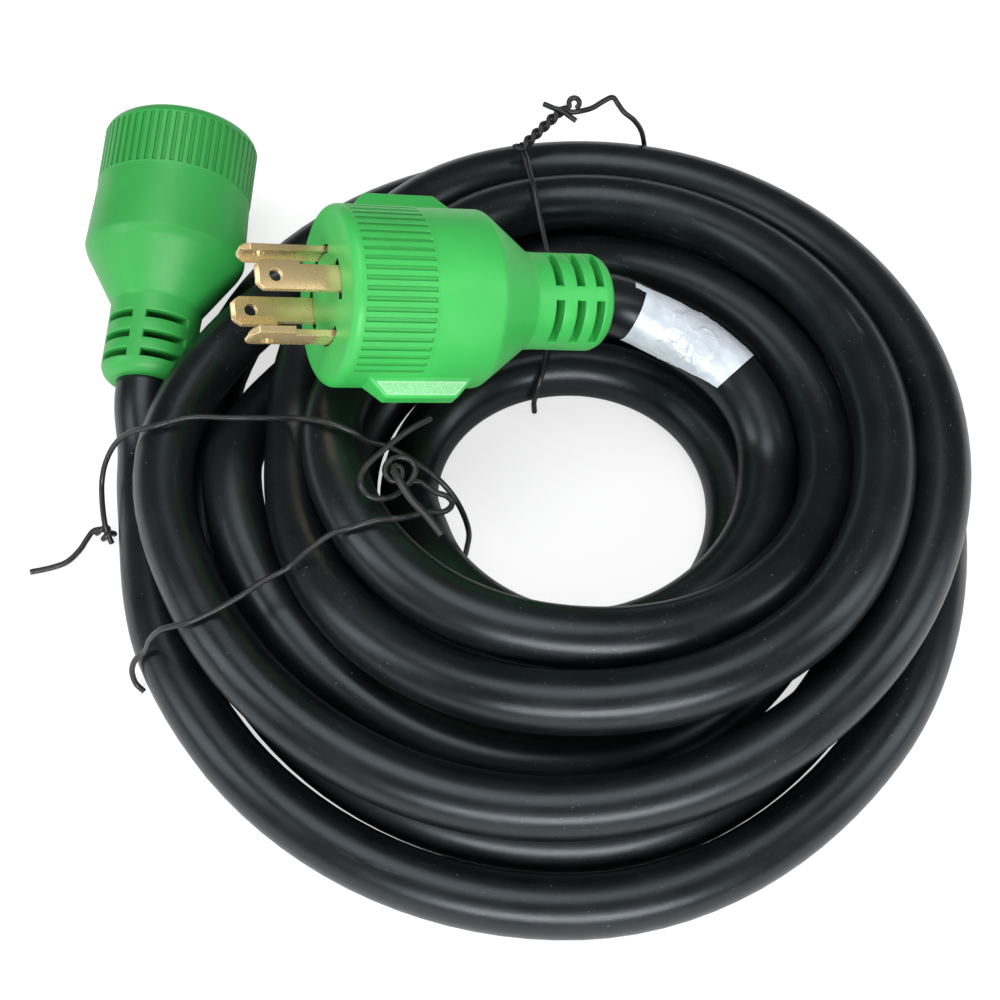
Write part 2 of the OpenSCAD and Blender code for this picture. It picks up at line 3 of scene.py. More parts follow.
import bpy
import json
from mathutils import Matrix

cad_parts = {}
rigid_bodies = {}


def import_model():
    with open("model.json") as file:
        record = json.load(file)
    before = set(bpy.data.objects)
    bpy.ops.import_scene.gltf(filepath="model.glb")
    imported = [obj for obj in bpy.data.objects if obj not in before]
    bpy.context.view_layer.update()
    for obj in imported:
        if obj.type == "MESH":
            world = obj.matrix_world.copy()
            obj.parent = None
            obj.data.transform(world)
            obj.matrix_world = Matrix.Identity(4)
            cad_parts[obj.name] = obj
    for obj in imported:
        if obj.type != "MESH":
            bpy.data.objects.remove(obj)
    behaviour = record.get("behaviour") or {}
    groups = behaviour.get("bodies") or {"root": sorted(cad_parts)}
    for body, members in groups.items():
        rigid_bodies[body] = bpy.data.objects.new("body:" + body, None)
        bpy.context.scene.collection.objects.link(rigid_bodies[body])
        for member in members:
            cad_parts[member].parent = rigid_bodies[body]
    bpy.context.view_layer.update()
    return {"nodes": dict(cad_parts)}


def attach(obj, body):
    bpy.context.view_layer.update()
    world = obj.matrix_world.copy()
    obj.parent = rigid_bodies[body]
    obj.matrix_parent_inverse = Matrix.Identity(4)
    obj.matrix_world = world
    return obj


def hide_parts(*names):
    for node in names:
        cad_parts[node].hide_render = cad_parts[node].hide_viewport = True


bl_info = {
    "name": "Shore power cord",
    "version": (1, 0, 0),
    "blender": (4, 5, 0),
    "location": "View3D > Sidebar > Power Cord",
    "description": "Builds a coiled shore power cord with its plug, connector, label and ties",
    "category": "Object",
}

import json
import math
from types import SimpleNamespace

import bmesh
import bpy
import numpy as np
from bpy.props import FloatProperty, FloatVectorProperty, IntProperty, PointerProperty
from mathutils import Matrix, Vector, noise

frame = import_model()
MM = 0.001


# ---- sizes and colours


def length(name, description, default, low=0.0):
    return FloatProperty(name=name, description=description, default=default, min=low,
                         unit="LENGTH", precision=5)


def colour(name, description, default):
    return FloatVectorProperty(name=name, description=description, default=default, size=3,
                               subtype="COLOR", min=0.0, max=1.0)


class CordSizes(bpy.types.PropertyGroup):
    """Sizes of the cable, its label and its ties"""

    jacket: length("Jacket", "Outside diameter of the cable's jacket", 0.0186, 0.01)
    whole: length("Whole length", "Length of cable from the plug to the connector", 4.45, 1.0)
    sides: IntProperty(name="Sides", description="Sides of the jacket's round section", default=28,
                       min=8, max=48)
    label_film: length("Label film", "Thickness of the wrap label's film", 0.00018)
    tie: length("Tie wire", "Diameter of a coated tie wire", 0.0018)


class HeadSizes(bpy.types.PropertyGroup):
    """Sizes that the plug's and the connector's covers share"""

    ribs: IntProperty(name="Ribs", description="Number of grip ribs round a head", default=56,
                      min=24, max=80)
    groove: length("Groove width", "Width of the groove between two ribs", 0.0013)
    groove_depth: length("Groove depth", "Depth of the groove between two ribs", 0.0006)
    step: length("Grip step", "How far the grip stands over the band behind it", 0.0002)
    relief: length("Strain relief", "Outside diameter of a strain relief", 0.0296)
    slot: length("Relief slot", "Width of a slot across a strain relief", 0.0027)
    edge: length("Soft edge", "Rounding of a moulded edge beside a slot", 0.00035)


class FinishColours(bpy.types.PropertyGroup):
    """Colours of the finishes, as linear light"""

    cover: colour("Covers", "Moulded green of the plug and the connector", (0.044, 0.465, 0.086))
    jacket: colour("Jacket", "Black of the cable's jacket", (0.0048, 0.0054, 0.0060))
    brass: colour("Blades", "Pale gold of the blades", (0.84, 0.63, 0.33))
    label: colour("Label", "Silver white of the blank label", (0.60, 0.66, 0.72))
    tie: colour("Ties", "Grey black of the tie wires", (0.016, 0.016, 0.018))


class StageSettings(bpy.types.PropertyGroup):
    """Floor, lamps and camera"""

    floor: colour("Floor", "Colour of the floor", (0.93, 0.93, 0.93))
    lens: FloatProperty(name="Lens", description="Camera lens", default=68.72, min=10.0,
                        unit="CAMERA")


# ---- node helpers


def math_node(kind, swapped=False):
    """A Socket method that adds a Math node; swapped puts the other value first"""

    def method(self, *others):
        values = (*others, self) if swapped else (self, *others)
        return self.tree.add("ShaderNodeMath", dict(enumerate(values)), operation=kind)

    return method


class Socket:
    """A node's output that takes part in Python sums, each of which adds a Math node"""

    def __init__(self, tree, output):
        self.tree, self.output = tree, output

    __add__ = __radd__ = math_node("ADD")
    __mul__ = __rmul__ = math_node("MULTIPLY")
    __sub__, __rsub__ = math_node("SUBTRACT"), math_node("SUBTRACT", swapped=True)
    __truediv__, __gt__ = math_node("DIVIDE"), math_node("GREATER_THAN")
    __abs__, root = math_node("ABSOLUTE"), math_node("SQRT")
    at_least, at_most = math_node("MAXIMUM"), math_node("MINIMUM")
    sine, cosine = math_node("SINE"), math_node("COSINE")
    fraction, floor = math_node("FRACT"), math_node("FLOOR")


class Tree:
    """A node tree; add() makes any node from its type, its inputs and its settings"""

    def __init__(self, tree):
        self.tree = tree

    def add(self, kind, inputs=None, out=0, **settings):
        node = self.tree.nodes.new(kind)
        for name, value in settings.items():
            setattr(node, name, value)
        for name, value in (inputs or {}).items():
            self.put(node.inputs[name], value)
        return Socket(self, node.outputs[out])

    def put(self, socket, value):
        if isinstance(value, Socket):
            self.tree.links.new(value.output, socket)
        elif value is not None:
            socket.default_value = value

    def vector(self, x, y, z):
        return self.add("ShaderNodeCombineXYZ", {0: x, 1: y, 2: z})

    def split(self, vector):
        """The three parts of a vector"""
        first = self.add("ShaderNodeSeparateXYZ", {0: vector})
        return [Socket(self, output) for output in first.output.node.outputs]

    def ranged(self, value, low, high):
        """A smooth step from 0 at low to 1 at high"""
        return self.add("ShaderNodeMapRange", {"Value": value, "From Min": low, "From Max": high},
                        interpolation_type="SMOOTHSTEP")


class Finish(Tree):
    """A procedural material on the Principled shader"""

    def __init__(self, name):
        self.material = bpy.data.materials.new(name)
        self.material.use_nodes = True
        super().__init__(self.material.node_tree)

    def place(self):
        return self.add("ShaderNodeTexCoord", out="Object")

    def stretched(self, place, along, across):
        return self.add("ShaderNodeVectorMath", {0: place, 1: (along, across, across)},
                        operation="MULTIPLY")

    def noise(self, place, scale, detail=2.0, rough=0.5):
        return self.add("ShaderNodeTexNoise", {"Vector": place, "Scale": scale, "Detail": detail,
                                               "Roughness": rough})

    def cells(self, place, scale, feature="F1"):
        return self.add("ShaderNodeTexVoronoi", {"Vector": place, "Scale": scale}, feature=feature)

    def attribute(self, name, out="Fac"):
        return self.add("ShaderNodeAttribute", out=out, attribute_name=name)

    def blend(self, amount, first, second):
        """A colour between two colours or sockets"""
        node = self.tree.nodes.new("ShaderNodeMix")
        node.data_type = "RGBA"
        for socket, value in ((0, amount), (6, first), (7, second)):
            if not isinstance(value, Socket) and hasattr(value, "__len__"):
                value = tuple(value)[:3] + (1.0,)
            self.put(node.inputs[socket], value)
        return Socket(self, node.outputs[2])

    def clouded(self, base, dark, light, cloud, low=0.35, high=0.65):
        """A colour that drifts between a darker and a lighter shade of itself"""
        return self.blend(self.ranged(cloud, low, high), tinted(base, dark), tinted(base, light))

    def layered(self, shade, *layers):
        """A colour with others laid over it; each is (amount, colour)"""
        for amount, colour in layers:
            shade = self.blend(amount, shade, colour)
        return shade

    def bump(self, height, strength, distance, normal=None):
        return self.add("ShaderNodeBump", {"Height": height, "Strength": strength,
                                           "Distance": distance, "Normal": normal})

    def done(self, **sockets):
        """The material, with the shader's inputs set by name"""
        shader = self.tree.nodes["Principled BSDF"]
        for name, value in sockets.items():
            if hasattr(value, "__len__") and len(value) == 3:
                value = tuple(value) + (1.0,)
            self.put(shader.inputs[name.replace("_", " ")], value)
        return self.material


def tinted(shade, amount):
    """A colour made lighter or darker, as linear light"""
    return tuple(min(1.0, channel * amount) for channel in shade)


# ---- finishes


def moulded_green(name, light):
    """Satin moulded PVC: faint clouding, fine pits, painted shade in the grooves and along their
    walls, near-black painted shade over the inside and the face's slit walls, and a frosted panel
    on one flank of each wing with a painted highlight round its rim; a light under 1 darkens the
    whole green as painted shade"""
    # light under 1 darkens the whole green as painted shade, making the connector's cover a shaded
    # copy of the plug's
    base = tinted(bpy.context.scene.cord_colours.cover, light)
    f = Finish(name)
    place = f.place()
    grain = f.noise(place, 1900, 2, 0.6)
    pits = f.noise(place, 420, 3, 0.55)
    groove, deep = f.attribute("groove"), f.attribute("deep")
    along, rise, flank = f.split(f.attribute("panel", "Vector"))
    half, slope, top = 16.4, 1.02, 4.9
    inset = f.ranged(half - abs(along) - rise * slope, 0.7, 2.2)
    inset = inset * f.ranged(rise, 0.5, 1.3) * f.ranged(top - rise, 0.1, 0.8) * flank
    # rim: a painted highlight along the edge of the frosted panel
    rim = inset * (1 - inset) * 4
    speckle = f.ranged(f.noise(place, 2600, 1), 0.42, 0.60)
    shade = f.layered(
        f.clouded(base, 0.93, 1.06, f.noise(place, 28, 3)),
        # painted shade: the grooves darkened, with a darker painted line along each groove wall
        (groove * 0.2 + groove * (1 - groove) * 1.5, tinted(base, 0.3)),
        (inset * (0.22 + 0.25 * speckle), (0.60, 0.84, 0.64)),
        # near-black painted shade over the cover's inside, seen through the slots, and on the
        # face's slit walls
        (rim * 0.35, (0.75, 0.92, 0.78)), (deep, (0.003, 0.010, 0.004)))
    rough = 0.38 + 0.10 * pits + 0.15 * inset + 0.1 * groove + 0.4 * deep
    height = grain * (0.4 + 1.6 * inset) + pits * 0.6
    return f.done(Base_Color=shade, Roughness=rough, Normal=f.bump(height, 0.22, 0.0004))


def black_jacket():
    """Satin black PVC with faint flow lines along it, scuffs and light dust"""
    base = bpy.context.scene.cord_colours.jacket
    f = Finish("black_jacket")
    lay, place = f.attribute("lay", "Vector"), f.place()
    flow = f.noise(f.stretched(lay, 9, 260), 1.0, 3, 0.6)
    cloud = f.noise(lay, 22, 3, 0.6)
    specks = f.ranged(f.noise(place, 1300, 2, 0.7), 0.70, 0.76)
    where = f.ranged(f.noise(place, 17, 2), 0.36, 0.60)
    scuff = f.ranged(f.noise(f.stretched(lay, 60, 420), 1.0, 4, 0.7), 0.60, 0.74)
    scuff = scuff * f.ranged(f.noise(lay, 31, 2), 0.50, 0.66)
    film = f.ranged(f.noise(place, 55, 4, 0.65), 0.35, 0.75)
    shade = f.layered(
        f.clouded(base, 0.7, 1.4, cloud, 0.3, 0.7), (film * 0.08, (0.040, 0.052, 0.064)),
        (scuff * 0.35, (0.075, 0.085, 0.095)), (specks * where * 0.65, (0.34, 0.36, 0.38)))
    rough = 0.24 + 0.08 * flow + 0.07 * cloud + 0.05 * film + 0.25 * scuff
    height = flow * 0.8 + f.noise(place, 900, 2) * 0.35
    return f.done(Base_Color=shade, Roughness=rough, Normal=f.bump(height, 0.12, 0.0006),
                  Specular_Tint=(0.82, 0.93, 1.0))


def metal(name, shade, rough, shine=1.0):
    """Plated or bare metal with faint rolling marks, dull spots and softened edges"""
    f = Finish(name)
    place = f.place()
    rolled = f.noise(place, 900, 3, 0.6)
    dull = f.ranged(f.noise(place, 90, 4, 0.6), 0.45, 0.80)
    tone = f.layered(tinted(shade, 1.04), (dull, tinted(shade, 0.88)),
                     (f.ranged(rolled, 0.4, 0.7) * 0.1, tinted(shade, 0.86)))
    soft = f.add("ShaderNodeBevel", {"Radius": 0.0003}, samples=8)
    return f.done(Base_Color=tone, Metallic=shine, Roughness=rough + 0.10 * dull + 0.06 * rolled,
                  Normal=f.bump(rolled, 0.02, 0.0001, soft))


def plain_plastic(name, shade, rough):
    """Matt moulding or smooth insulation with faint clouding and grain"""
    f = Finish(name)
    place = f.place()
    grain = f.noise(place, 1500, 2, 0.6)
    tone = f.clouded(shade, 0.88, 1.1, f.noise(place, 60, 3))
    return f.done(Base_Color=tone, Roughness=rough + 0.1 * grain,
                  Normal=f.bump(grain, 0.15, 0.0003))


def label_film():
    """Creased silver-white film, blank, with painted shade in the crumpled middle and painted
    highlights on its facets
    """
    base = bpy.context.scene.cord_colours.label
    f = Finish("label_film")
    sheet, busy = f.attribute("sheet", "Vector"), f.attribute("busy")
    facets = f.cells(sheet, 190)
    warp = f.noise(sheet, 120, 3, 0.6)
    creases = f.ranged(f.cells(sheet, 240, "DISTANCE_TO_EDGE"), 0.0, 0.10)
    fine = f.noise(sheet, 900, 3, 0.7)
    tone = f.layered(
        f.clouded(base, 0.90, 1.12, warp),
        # painted shade in the crumpled middle, following the warp that shapes the folds
        (busy * f.ranged(warp, 0.42, 0.58) * 0.45, tinted(base, 0.6)),
        # painted highlight: the facets whitened, the creases left out
        (busy * (1 - creases) * 0.08, (0.86, 0.92, 0.98)))
    height = busy * (facets + 0.3 * creases) + warp * 0.5 + fine * 0.08
    return f.done(Base_Color=tone, Metallic=0.20, Roughness=0.34 + 0.12 * warp,
                  Normal=f.bump(height, 0.35, 0.0006))


def tie_coating():
    """Thin satin plastic on wire, scraped a little"""
    base = bpy.context.scene.cord_colours.tie
    f = Finish("tie_coating")
    place = f.place()
    worn = f.ranged(f.noise(place, 260, 4, 0.7), 0.58, 0.72)
    tone = f.blend(worn * 0.35, base, (0.09, 0.09, 0.095))
    grain = f.noise(place, 1400, 2)
    return f.done(Base_Color=tone, Roughness=0.34 + 0.2 * worn,
                  Normal=f.bump(grain, 0.15, 0.0003))


def dress(node, material):
    """Gives a CAD node that stays its finish"""
    slots = frame["nodes"][node].data.materials
    slots.clear()
    slots.append(material)


# ---- shared making


def once(store, name, maker, *values):
    """What one of Blender's stores holds under a name, made on its first use"""
    return store.get(name) or maker(*values)


def linked(name, data):
    """A new object in the scene, at the origin"""
    made = bpy.data.objects.new(name, data)
    bpy.context.scene.collection.objects.link(made)
    return made


def finished(name, mesh, slot, *replaced):
    """Links a finished mesh on the cord's one body"""
    piece = linked(name, mesh)
    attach(piece, "root")
    if replaced:
        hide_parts(*replaced)
    return piece


def stored(mesh, name, kind, domain, values):
    """Stores numbers or vectors on a mesh under a name"""
    attribute = mesh.attributes.new(name, kind, domain)
    attribute.data.foreach_set("vector" if kind == "FLOAT_VECTOR" else "value", np.ravel(values))


def baked(source):
    """The plain mesh of an object's evaluated modifiers; the object goes"""
    bpy.context.view_layer.update()
    graph = bpy.context.evaluated_depsgraph_get()
    mesh = bpy.data.meshes.new_from_object(source.evaluated_get(graph),
                                           preserve_all_data_layers=True, depsgraph=graph)
    bpy.data.batch_remove([source, source.data])
    return mesh


def shaped(obj, group, **values):
    """The plain mesh of an object under a Geometry Nodes tree with its named inputs set"""
    modifier = obj.modifiers.new(group.name, "NODES")
    modifier.node_group = group
    sockets = {item.name: item.identifier for item in group.interface.items_tree
               if item.item_type == "SOCKET" and item.in_out == "INPUT"}
    for name, value in values.items():
        modifier[sockets[name.replace("_", " ")]] = value
    return baked(obj)


def new_group(name, numbers, whole_numbers):
    """A geometry tree with named inputs, its last the material: (tree, its inputs by name)"""
    group = bpy.data.node_groups.new(name, "GeometryNodeTree")
    group.interface.new_socket("Geometry", in_out="OUTPUT", socket_type="NodeSocketGeometry")
    kinds = {"Geometry": "Geometry", **dict.fromkeys(numbers, "Float"),
             **dict.fromkeys(whole_numbers, "Int"), "Material": "Material"}
    for label, kind in kinds.items():
        group.interface.new_socket(label, in_out="INPUT", socket_type="NodeSocket" + kind)
    tree, entry = Tree(group), group.nodes.new("NodeGroupInput")
    return tree, {label: Socket(tree, entry.outputs[label]) for label in kinds}


def close_group(tree, geometry, material):
    """Ends a tree as every one here ends: instances realised, finish set"""
    whole = tree.add("GeometryNodeRealizeInstances", {"Geometry": geometry})
    whole = tree.add("GeometryNodeSetMaterial", {"Geometry": whole, "Material": material})
    tree.put(tree.tree.nodes.new("NodeGroupOutput").inputs[0], whole)
    return tree.tree


def captured(tree, geometry, name, out):
    """A measure along a curve, kept on it: (the curve, the measure)"""
    node = tree.tree.nodes.new("GeometryNodeCaptureAttribute")
    node.capture_items.new("FLOAT", name)
    tree.put(node.inputs["Geometry"], geometry)
    tree.put(node.inputs[name], tree.add("GeometryNodeSplineParameter", out=out))
    return Socket(tree, node.outputs["Geometry"]), Socket(tree, node.outputs[name])


def swept_group():
    """Sweeps a round section along a curve, never below the floor, and stores the lay"""
    tree, given = new_group("swept_cord", ("Diameter", "Flatness"), ("Sides",))
    radius = given["Diameter"] * 0.5
    curve, along = captured(tree, given["Geometry"], "Along", "Length")
    ring = tree.add("GeometryNodeCurvePrimitiveCircle", {"Resolution": given["Sides"],
                                                         "Radius": radius})
    ring = tree.add("GeometryNodeTransform", {
        "Geometry": ring, "Scale": tree.vector(1.0, given["Flatness"], 1.0)})
    ring, part = captured(tree, ring, "Round", "Factor")
    tube = tree.add("GeometryNodeCurveToMesh", {"Curve": curve, "Profile Curve": ring,
                                                "Fill Caps": True})
    x, y, z = tree.split(tree.add("GeometryNodeInputPosition"))
    tube = tree.add("GeometryNodeSetPosition", {"Geometry": tube,
                                                "Position": tree.vector(x, y, z.at_least(0.0))})
    turn = part * (2 * math.pi)
    tube = tree.add("GeometryNodeStoreNamedAttribute", {
        "Geometry": tube, "Name": "lay",
        "Value": tree.vector(along, turn.cosine() * radius, turn.sine() * radius)},
        data_type="FLOAT_VECTOR", domain="POINT")
    tube = tree.add("GeometryNodeSetShadeSmooth", {"Geometry": tube})
    return close_group(tree, tube, given["Material"])


def sweep(points, diameter, sides, material, flatness=1.0):
    """A tube's or a flat band's plain mesh along points in metres"""
    line = bpy.data.curves.new("line", "CURVE")
    line.dimensions = "3D"
    if flatness < 1:
        line.twist_mode = "Z_UP"
    spline = line.splines.new("POLY")
    spline.points.add(len(points) - 1)
    spline.points.foreach_set("co", np.c_[points, np.ones(len(points))].ravel())
    group = once(bpy.data.node_groups, "swept_cord", swept_group)
    return shaped(linked("line", line), group, Diameter=diameter, Sides=sides, Flatness=flatness,
                  Material=material)


def joined(name, meshes):
    """One mesh of several, their attributes kept"""
    parts = [linked(name, mesh) for mesh in meshes]
    with bpy.context.temp_override(active_object=parts[0], selected_editable_objects=parts):
        bpy.ops.object.join()
    mesh = parts[0].data
    bpy.data.objects.remove(parts[0])
    mesh.name = name
    return mesh


# ---- routes


def through(keys, rows, at):
    """Smooth values at chosen keys, through rows of values at given keys"""
    keys, rows, at = (np.asarray(part, float) for part in (keys, rows, at))
    last = len(keys) - 1
    spots = np.arange(last + 1)
    before, after = np.maximum(spots - 1, 0), np.minimum(spots + 1, last)
    slope = (rows[after] - rows[before]) / (keys[after] - keys[before])[:, None]
    k = np.clip(np.searchsorted(keys, at, side="right") - 1, 0, last - 1)
    step = keys[k + 1] - keys[k]
    t = ((at - keys[k]) / step)[:, None]
    step = step[:, None]
    return ((2 * t**3 - 3 * t**2 + 1) * rows[k] + (t**3 - 2 * t**2 + t) * slope[k] * step
            + (3 * t**2 - 2 * t**3) * rows[k + 1] + (t**3 - t**2) * slope[k + 1] * step)


def even(points, spacing):
    """Points at even spacing along a smooth curve through the given ones"""
    points = np.asarray(points, float)
    for fine in (spacing / 4, spacing):
        run = np.r_[0, np.cumsum(np.linalg.norm(np.diff(points, axis=0), axis=1))]
        points = through(run, points, np.linspace(0, run[-1], max(2, round(run[-1] / fine) + 1)))
    return points


RIGHT, FRONT, LEFT, BACK = 90, 180, 270, 360
LOW = 7.5
COIL_MID = (23.5, 5.5, 0.0)
# Each turn's rows are (angle from the back by way of the right, reach from the coil's middle,
# height), in degrees and millimetres. LOW is the height of a turn that lies on the floor.
TURNS = (
    ((RIGHT, 60.5, 24.5), (135, 61, 26.5), (FRONT, 62.5, 27), (225, 56.5, 24), (247, 52, 15.5),
     (LEFT, 52, LOW), (BACK, 47, LOW)),
    ((RIGHT, 51.5, LOW), (FRONT, 62, LOW), (LEFT, 71.5, LOW), (BACK, 66.3, LOW)),
    ((RIGHT, 74, LOW), (135, 84, 9), (FRONT, 97, 16), (225, 101, 19), (247, 103.7, 22),
     (LEFT, 106.5, 24.5), (281, 102.7, 17.5), (292, 98.5, 12), (315, 90, LOW), (337, 87.5, 9.5),
     (BACK, 82.5, 18.5)),
    ((15, 77.5, 25), (45, 77, 29), (RIGHT, 79, 31), (135, 76, 40.5), (FRONT, 71, 45.5),
     (225, 71.8, 46), (247, 73, 46), (LEFT, 74, 45), (281, 72.6, 43.5), (292, 72.5, 38),
     (315, 77.5, 35.5), (337, 90.5, 35), (BACK, 96.5, 32.5)),
    ((45, 94, 38.5), (RIGHT, 93, 44.5), (135, 94.2, 47.5), (FRONT, 90.3, 44.3), (225, 89.5, 37),
     (247, 88, 33), (LEFT, 86.5, 30), (281, 88.2, 31.6), (292, 91.5, 31), (315, 99, 33),
     (337, 111, 29.5), (BACK, 115.6, 27)),
    ((45, 113, 33), (RIGHT, 111.3, 37), (135, 111, 33), (FRONT, 115, 27), (247, 123.5, 28),
     (LEFT, 127, 28), (292, 118, 27), (315, 111.3, 16.5), (337, 107, 9.5), (BACK, 106, LOW)),
    ((RIGHT, 96, LOW), (135, 105, LOW), (FRONT, 117.5, LOW), (LEFT, 117, LOW), (281, 120.5, LOW),
     (292, 124.5, LOW), (315, 128.8, LOW), (BACK, 126, LOW)),
    ((RIGHT, 115.5, LOW), (135, 124.5, LOW), (FRONT, 137, LOW), (LEFT, 136.2, LOW)),
)
COIL_STEP, LINE_STEP = 3, 3.0       # spacing of the coil's points in degrees, of a lead's in mm
# Free points of the two leads, from the coil's middle
PLUG_LEAD = ((25.5, 39.5, 44), (35, 35.5, 40), (44, 30.5, 36.5), (52.5, 23, 32.5),
             (58.5, 12.5, 28.5))
CONNECTOR_LEAD = ((-136.7, 13, 9.5),)
RELIEF_LENGTH = 25.6                # from the cone's end to the head's


class Head(SimpleNamespace):
    """One moulded end: its place, and lengths back from its face, in millimetres and degrees"""

    def __init__(self, **measures):
        super().__init__(**measures)
        self.rear = self.lip + self.grip + self.band
        self.relief_at = self.rear + self.cone
        self.length = self.relief_at + RELIEF_LENGTH
        up, turn = math.radians(self.lift), math.radians(self.heading)
        self.ahead = Vector((math.cos(up) * math.cos(turn), math.cos(up) * math.sin(turn),
                             math.sin(up)))

    def back(self, distance):
        """The point that lies so far behind the face, on the head's axis"""
        return tuple(Vector(self.face) - distance * self.ahead)

    def in_slot(self, at, width):
        """Whether a distance back lies in one of the relief's slots"""
        return any(abs(at - self.relief_at - row) < width / 2 for row in RELIEF_ROWS)

    def place(self):
        """From the head's own metres, its face at the origin and its body at -Z, to the row"""
        mid = (Vector(COIL_MID) + Vector(self.face)) * MM
        return (Matrix.Translation(mid) @ Matrix.Rotation(math.radians(self.heading), 4, "Z")
                @ Matrix.Rotation(math.radians(90 - self.lift), 4, "Y")
                @ Matrix.Rotation(math.radians(self.roll), 4, "Z"))


PLUG = Head(name="plug", face=(-74, 23, 81.0), lift=19.5, heading=193, roll=163, radius=26.9,
            lip=4, grip=20.6, band=21.6, cone=16.8, flare=0, relief_turn=11, clear=12,
            light=1.0)
# the connector's light of 0.72 darkens its green as painted shade
CONNECTOR = Head(name="connector", face=(-130.4, 122.3, 35.316), lift=12.1, heading=85, roll=114,
                 radius=25.5, lip=4.5, grip=16.8, band=24.5, cone=19, flare=0.8, relief_turn=-58,
                 clear=-1, light=0.72)
# Points at each end of the coil that its leads replace, and the points between which the line is
# eased
LEAD_JOIN = 8
EASED_START, EASED_END = (5, 60), (-45, -5)


def eased(line, first, last):
    """Evens out a line's bends between two of its points, without drawing it in"""
    for amount in (0.5, -0.52) * 24:
        middle = (line[first - 1:last - 1] + line[first + 1:last + 1]) / 2
        line[first:last] += amount * (middle - line[first:last])


def cable_line():
    """The cable's centre line from inside the plug's relief to inside the connector's"""
    keys = np.array([row[0] + 360.0 * n for n, rows in enumerate(TURNS) for row in rows])
    rows = np.array([row[1:] for rows in TURNS for row in rows], float)
    angles = np.arange(keys[0], keys[-1] + 0.5, COIL_STEP)
    reach, rise = through(keys, rows, angles).T
    turn, join = np.radians(angles), LEAD_JOIN
    coil = np.c_[reach * np.sin(turn), reach * np.cos(turn), np.maximum(rise, LOW)]
    out = [PLUG.back(PLUG.relief_at + 3), PLUG.back(PLUG.length), PLUG.back(PLUG.length + 5)]
    lead = even(np.vstack([out, PLUG_LEAD, coil[0:1], coil[join:3 * join + 1:join]]), LINE_STEP)
    lead = lead[: int(np.argmin(np.linalg.norm(lead - coil[join], axis=1)))]
    tail = [CONNECTOR.back(CONNECTOR.length + 6), CONNECTOR.back(CONNECTOR.length),
            CONNECTOR.back(CONNECTOR.relief_at + 3)]
    end = even(np.vstack([coil[-3 * join - 1:-join:join], coil[-1:], CONNECTOR_LEAD, tail]),
               LINE_STEP)
    end = end[int(np.argmin(np.linalg.norm(end - coil[-join - 1], axis=1))) + 1:]
    line = np.vstack([lead, coil[join:-join], end])
    eased(line, *EASED_START)
    eased(line, *(len(line) + place for place in EASED_END))
    return (line + COIL_MID) * MM


class CORD_OT_cable(bpy.types.Operator):
    """Sweeps the black cable from the plug round the coil to the connector"""

    bl_idname = "cord.cable"
    bl_label = "Cable"

    def execute(self, context):
        sizes = context.scene.cord_sizes
        line = cable_line()
        mesh = sweep(line, sizes.jacket, sizes.sides, black_jacket())
        finished("cable", mesh, "jacket", "cable_plug_lead", "cable_coil", "cable_connector_lead")
        return {"FINISHED"}


# ---- moulded covers


PER_RIB, GRIP_ROWS = 12, 27         # columns of a cover per rib, and rows of its grip
GRIP_OVER = 0.8                     # how far the ribbed band runs past the grip at each end
BORE, BLOCK_R = 9.45, 20.2          # radii of the relief's bore and of the room for the block
RELIEF_ROWS = (6.2, 13.2, 19.6)     # middles of the relief's slots, behind the cone
RELIEF_ENDS = (8.5, 67)             # a slot's ends, in degrees from the narrow web


def ribbed_group():
    """Closes a head's open band with its ribbed grip: a cylinder with a square-ended groove in
    each of its cells, except near the wings, welded to the rest"""
    tree, given = new_group("ribbed_grip", (
        "Radius", "From", "Length", "Groove Length", "Groove Width", "Groove Depth", "Clear"),
        ("Ribs", "Per Rib", "Rows"))
    grid = tree.add("GeometryNodeMeshGrid", {
        "Size X": 1.0, "Size Y": 1.0, "Vertices X": given["Ribs"] * given["Per Rib"] + 1,
        "Vertices Y": given["Rows"]})
    x, y, _ = tree.split(tree.add("GeometryNodeInputPosition"))
    across = x + 0.5
    down = 0.5 - 0.5 * ((y + 0.5) * math.pi).cosine()
    cell = across * given["Ribs"]
    width = (2 * math.pi) * given["Radius"] / given["Ribs"]
    side = (cell.fraction() - 0.5) * width
    past = abs((down - 0.5) * given["Length"]) - given["Groove Length"] * 0.5
    away = (abs(side) - given["Groove Width"] * 0.5).at_least(past)
    degrees = (cell.floor() + 0.5) / given["Ribs"] * 360
    near = abs(degrees - 90).at_most(abs(degrees - 270))
    mask = tree.ranged(away, 0.0001, -0.0001) * (near > given["Clear"])
    turn = across * (2 * math.pi)
    radius = given["Radius"] - mask * given["Groove Depth"]
    shape = tree.vector(radius * turn.cosine(), radius * turn.sine(),
                        -1 * (given["From"] + down * given["Length"]))
    # the groove mask also darkens the grooves in the finish as painted shade
    band = tree.add("GeometryNodeStoreNamedAttribute", {
        "Geometry": grid, "Name": "groove", "Value": mask}, data_type="FLOAT", domain="POINT")
    band = tree.add("GeometryNodeSetPosition", {"Geometry": band, "Position": shape})
    both = tree.add("GeometryNodeJoinGeometry", {0: band})
    tree.put(both.output.node.inputs[0], given["Geometry"])
    whole = tree.add("GeometryNodeMergeByDistance", {"Geometry": both, "Distance": 0.00001})
    return close_group(tree, whole, given["Material"])


def rounded(outline, radius=0.8, steps=3):
    """An outline with its inner corners rounded off"""
    outline = [np.array(point, float) for point in outline]
    made = [outline[0]]
    for before, corner, after in zip(outline, outline[1:], outline[2:]):
        into, away = before - corner, after - corner
        cut = min(radius, 0.45 * np.linalg.norm(into), 0.45 * np.linalg.norm(away))
        start = corner + into / np.linalg.norm(into) * cut
        stop = corner + away / np.linalg.norm(away) * cut
        for t in np.linspace(0, 1, steps + 1):
            made.append((1 - t) ** 2 * start + 2 * t * (1 - t) * corner + t * t * stop)
    return made + [outline[-1]]


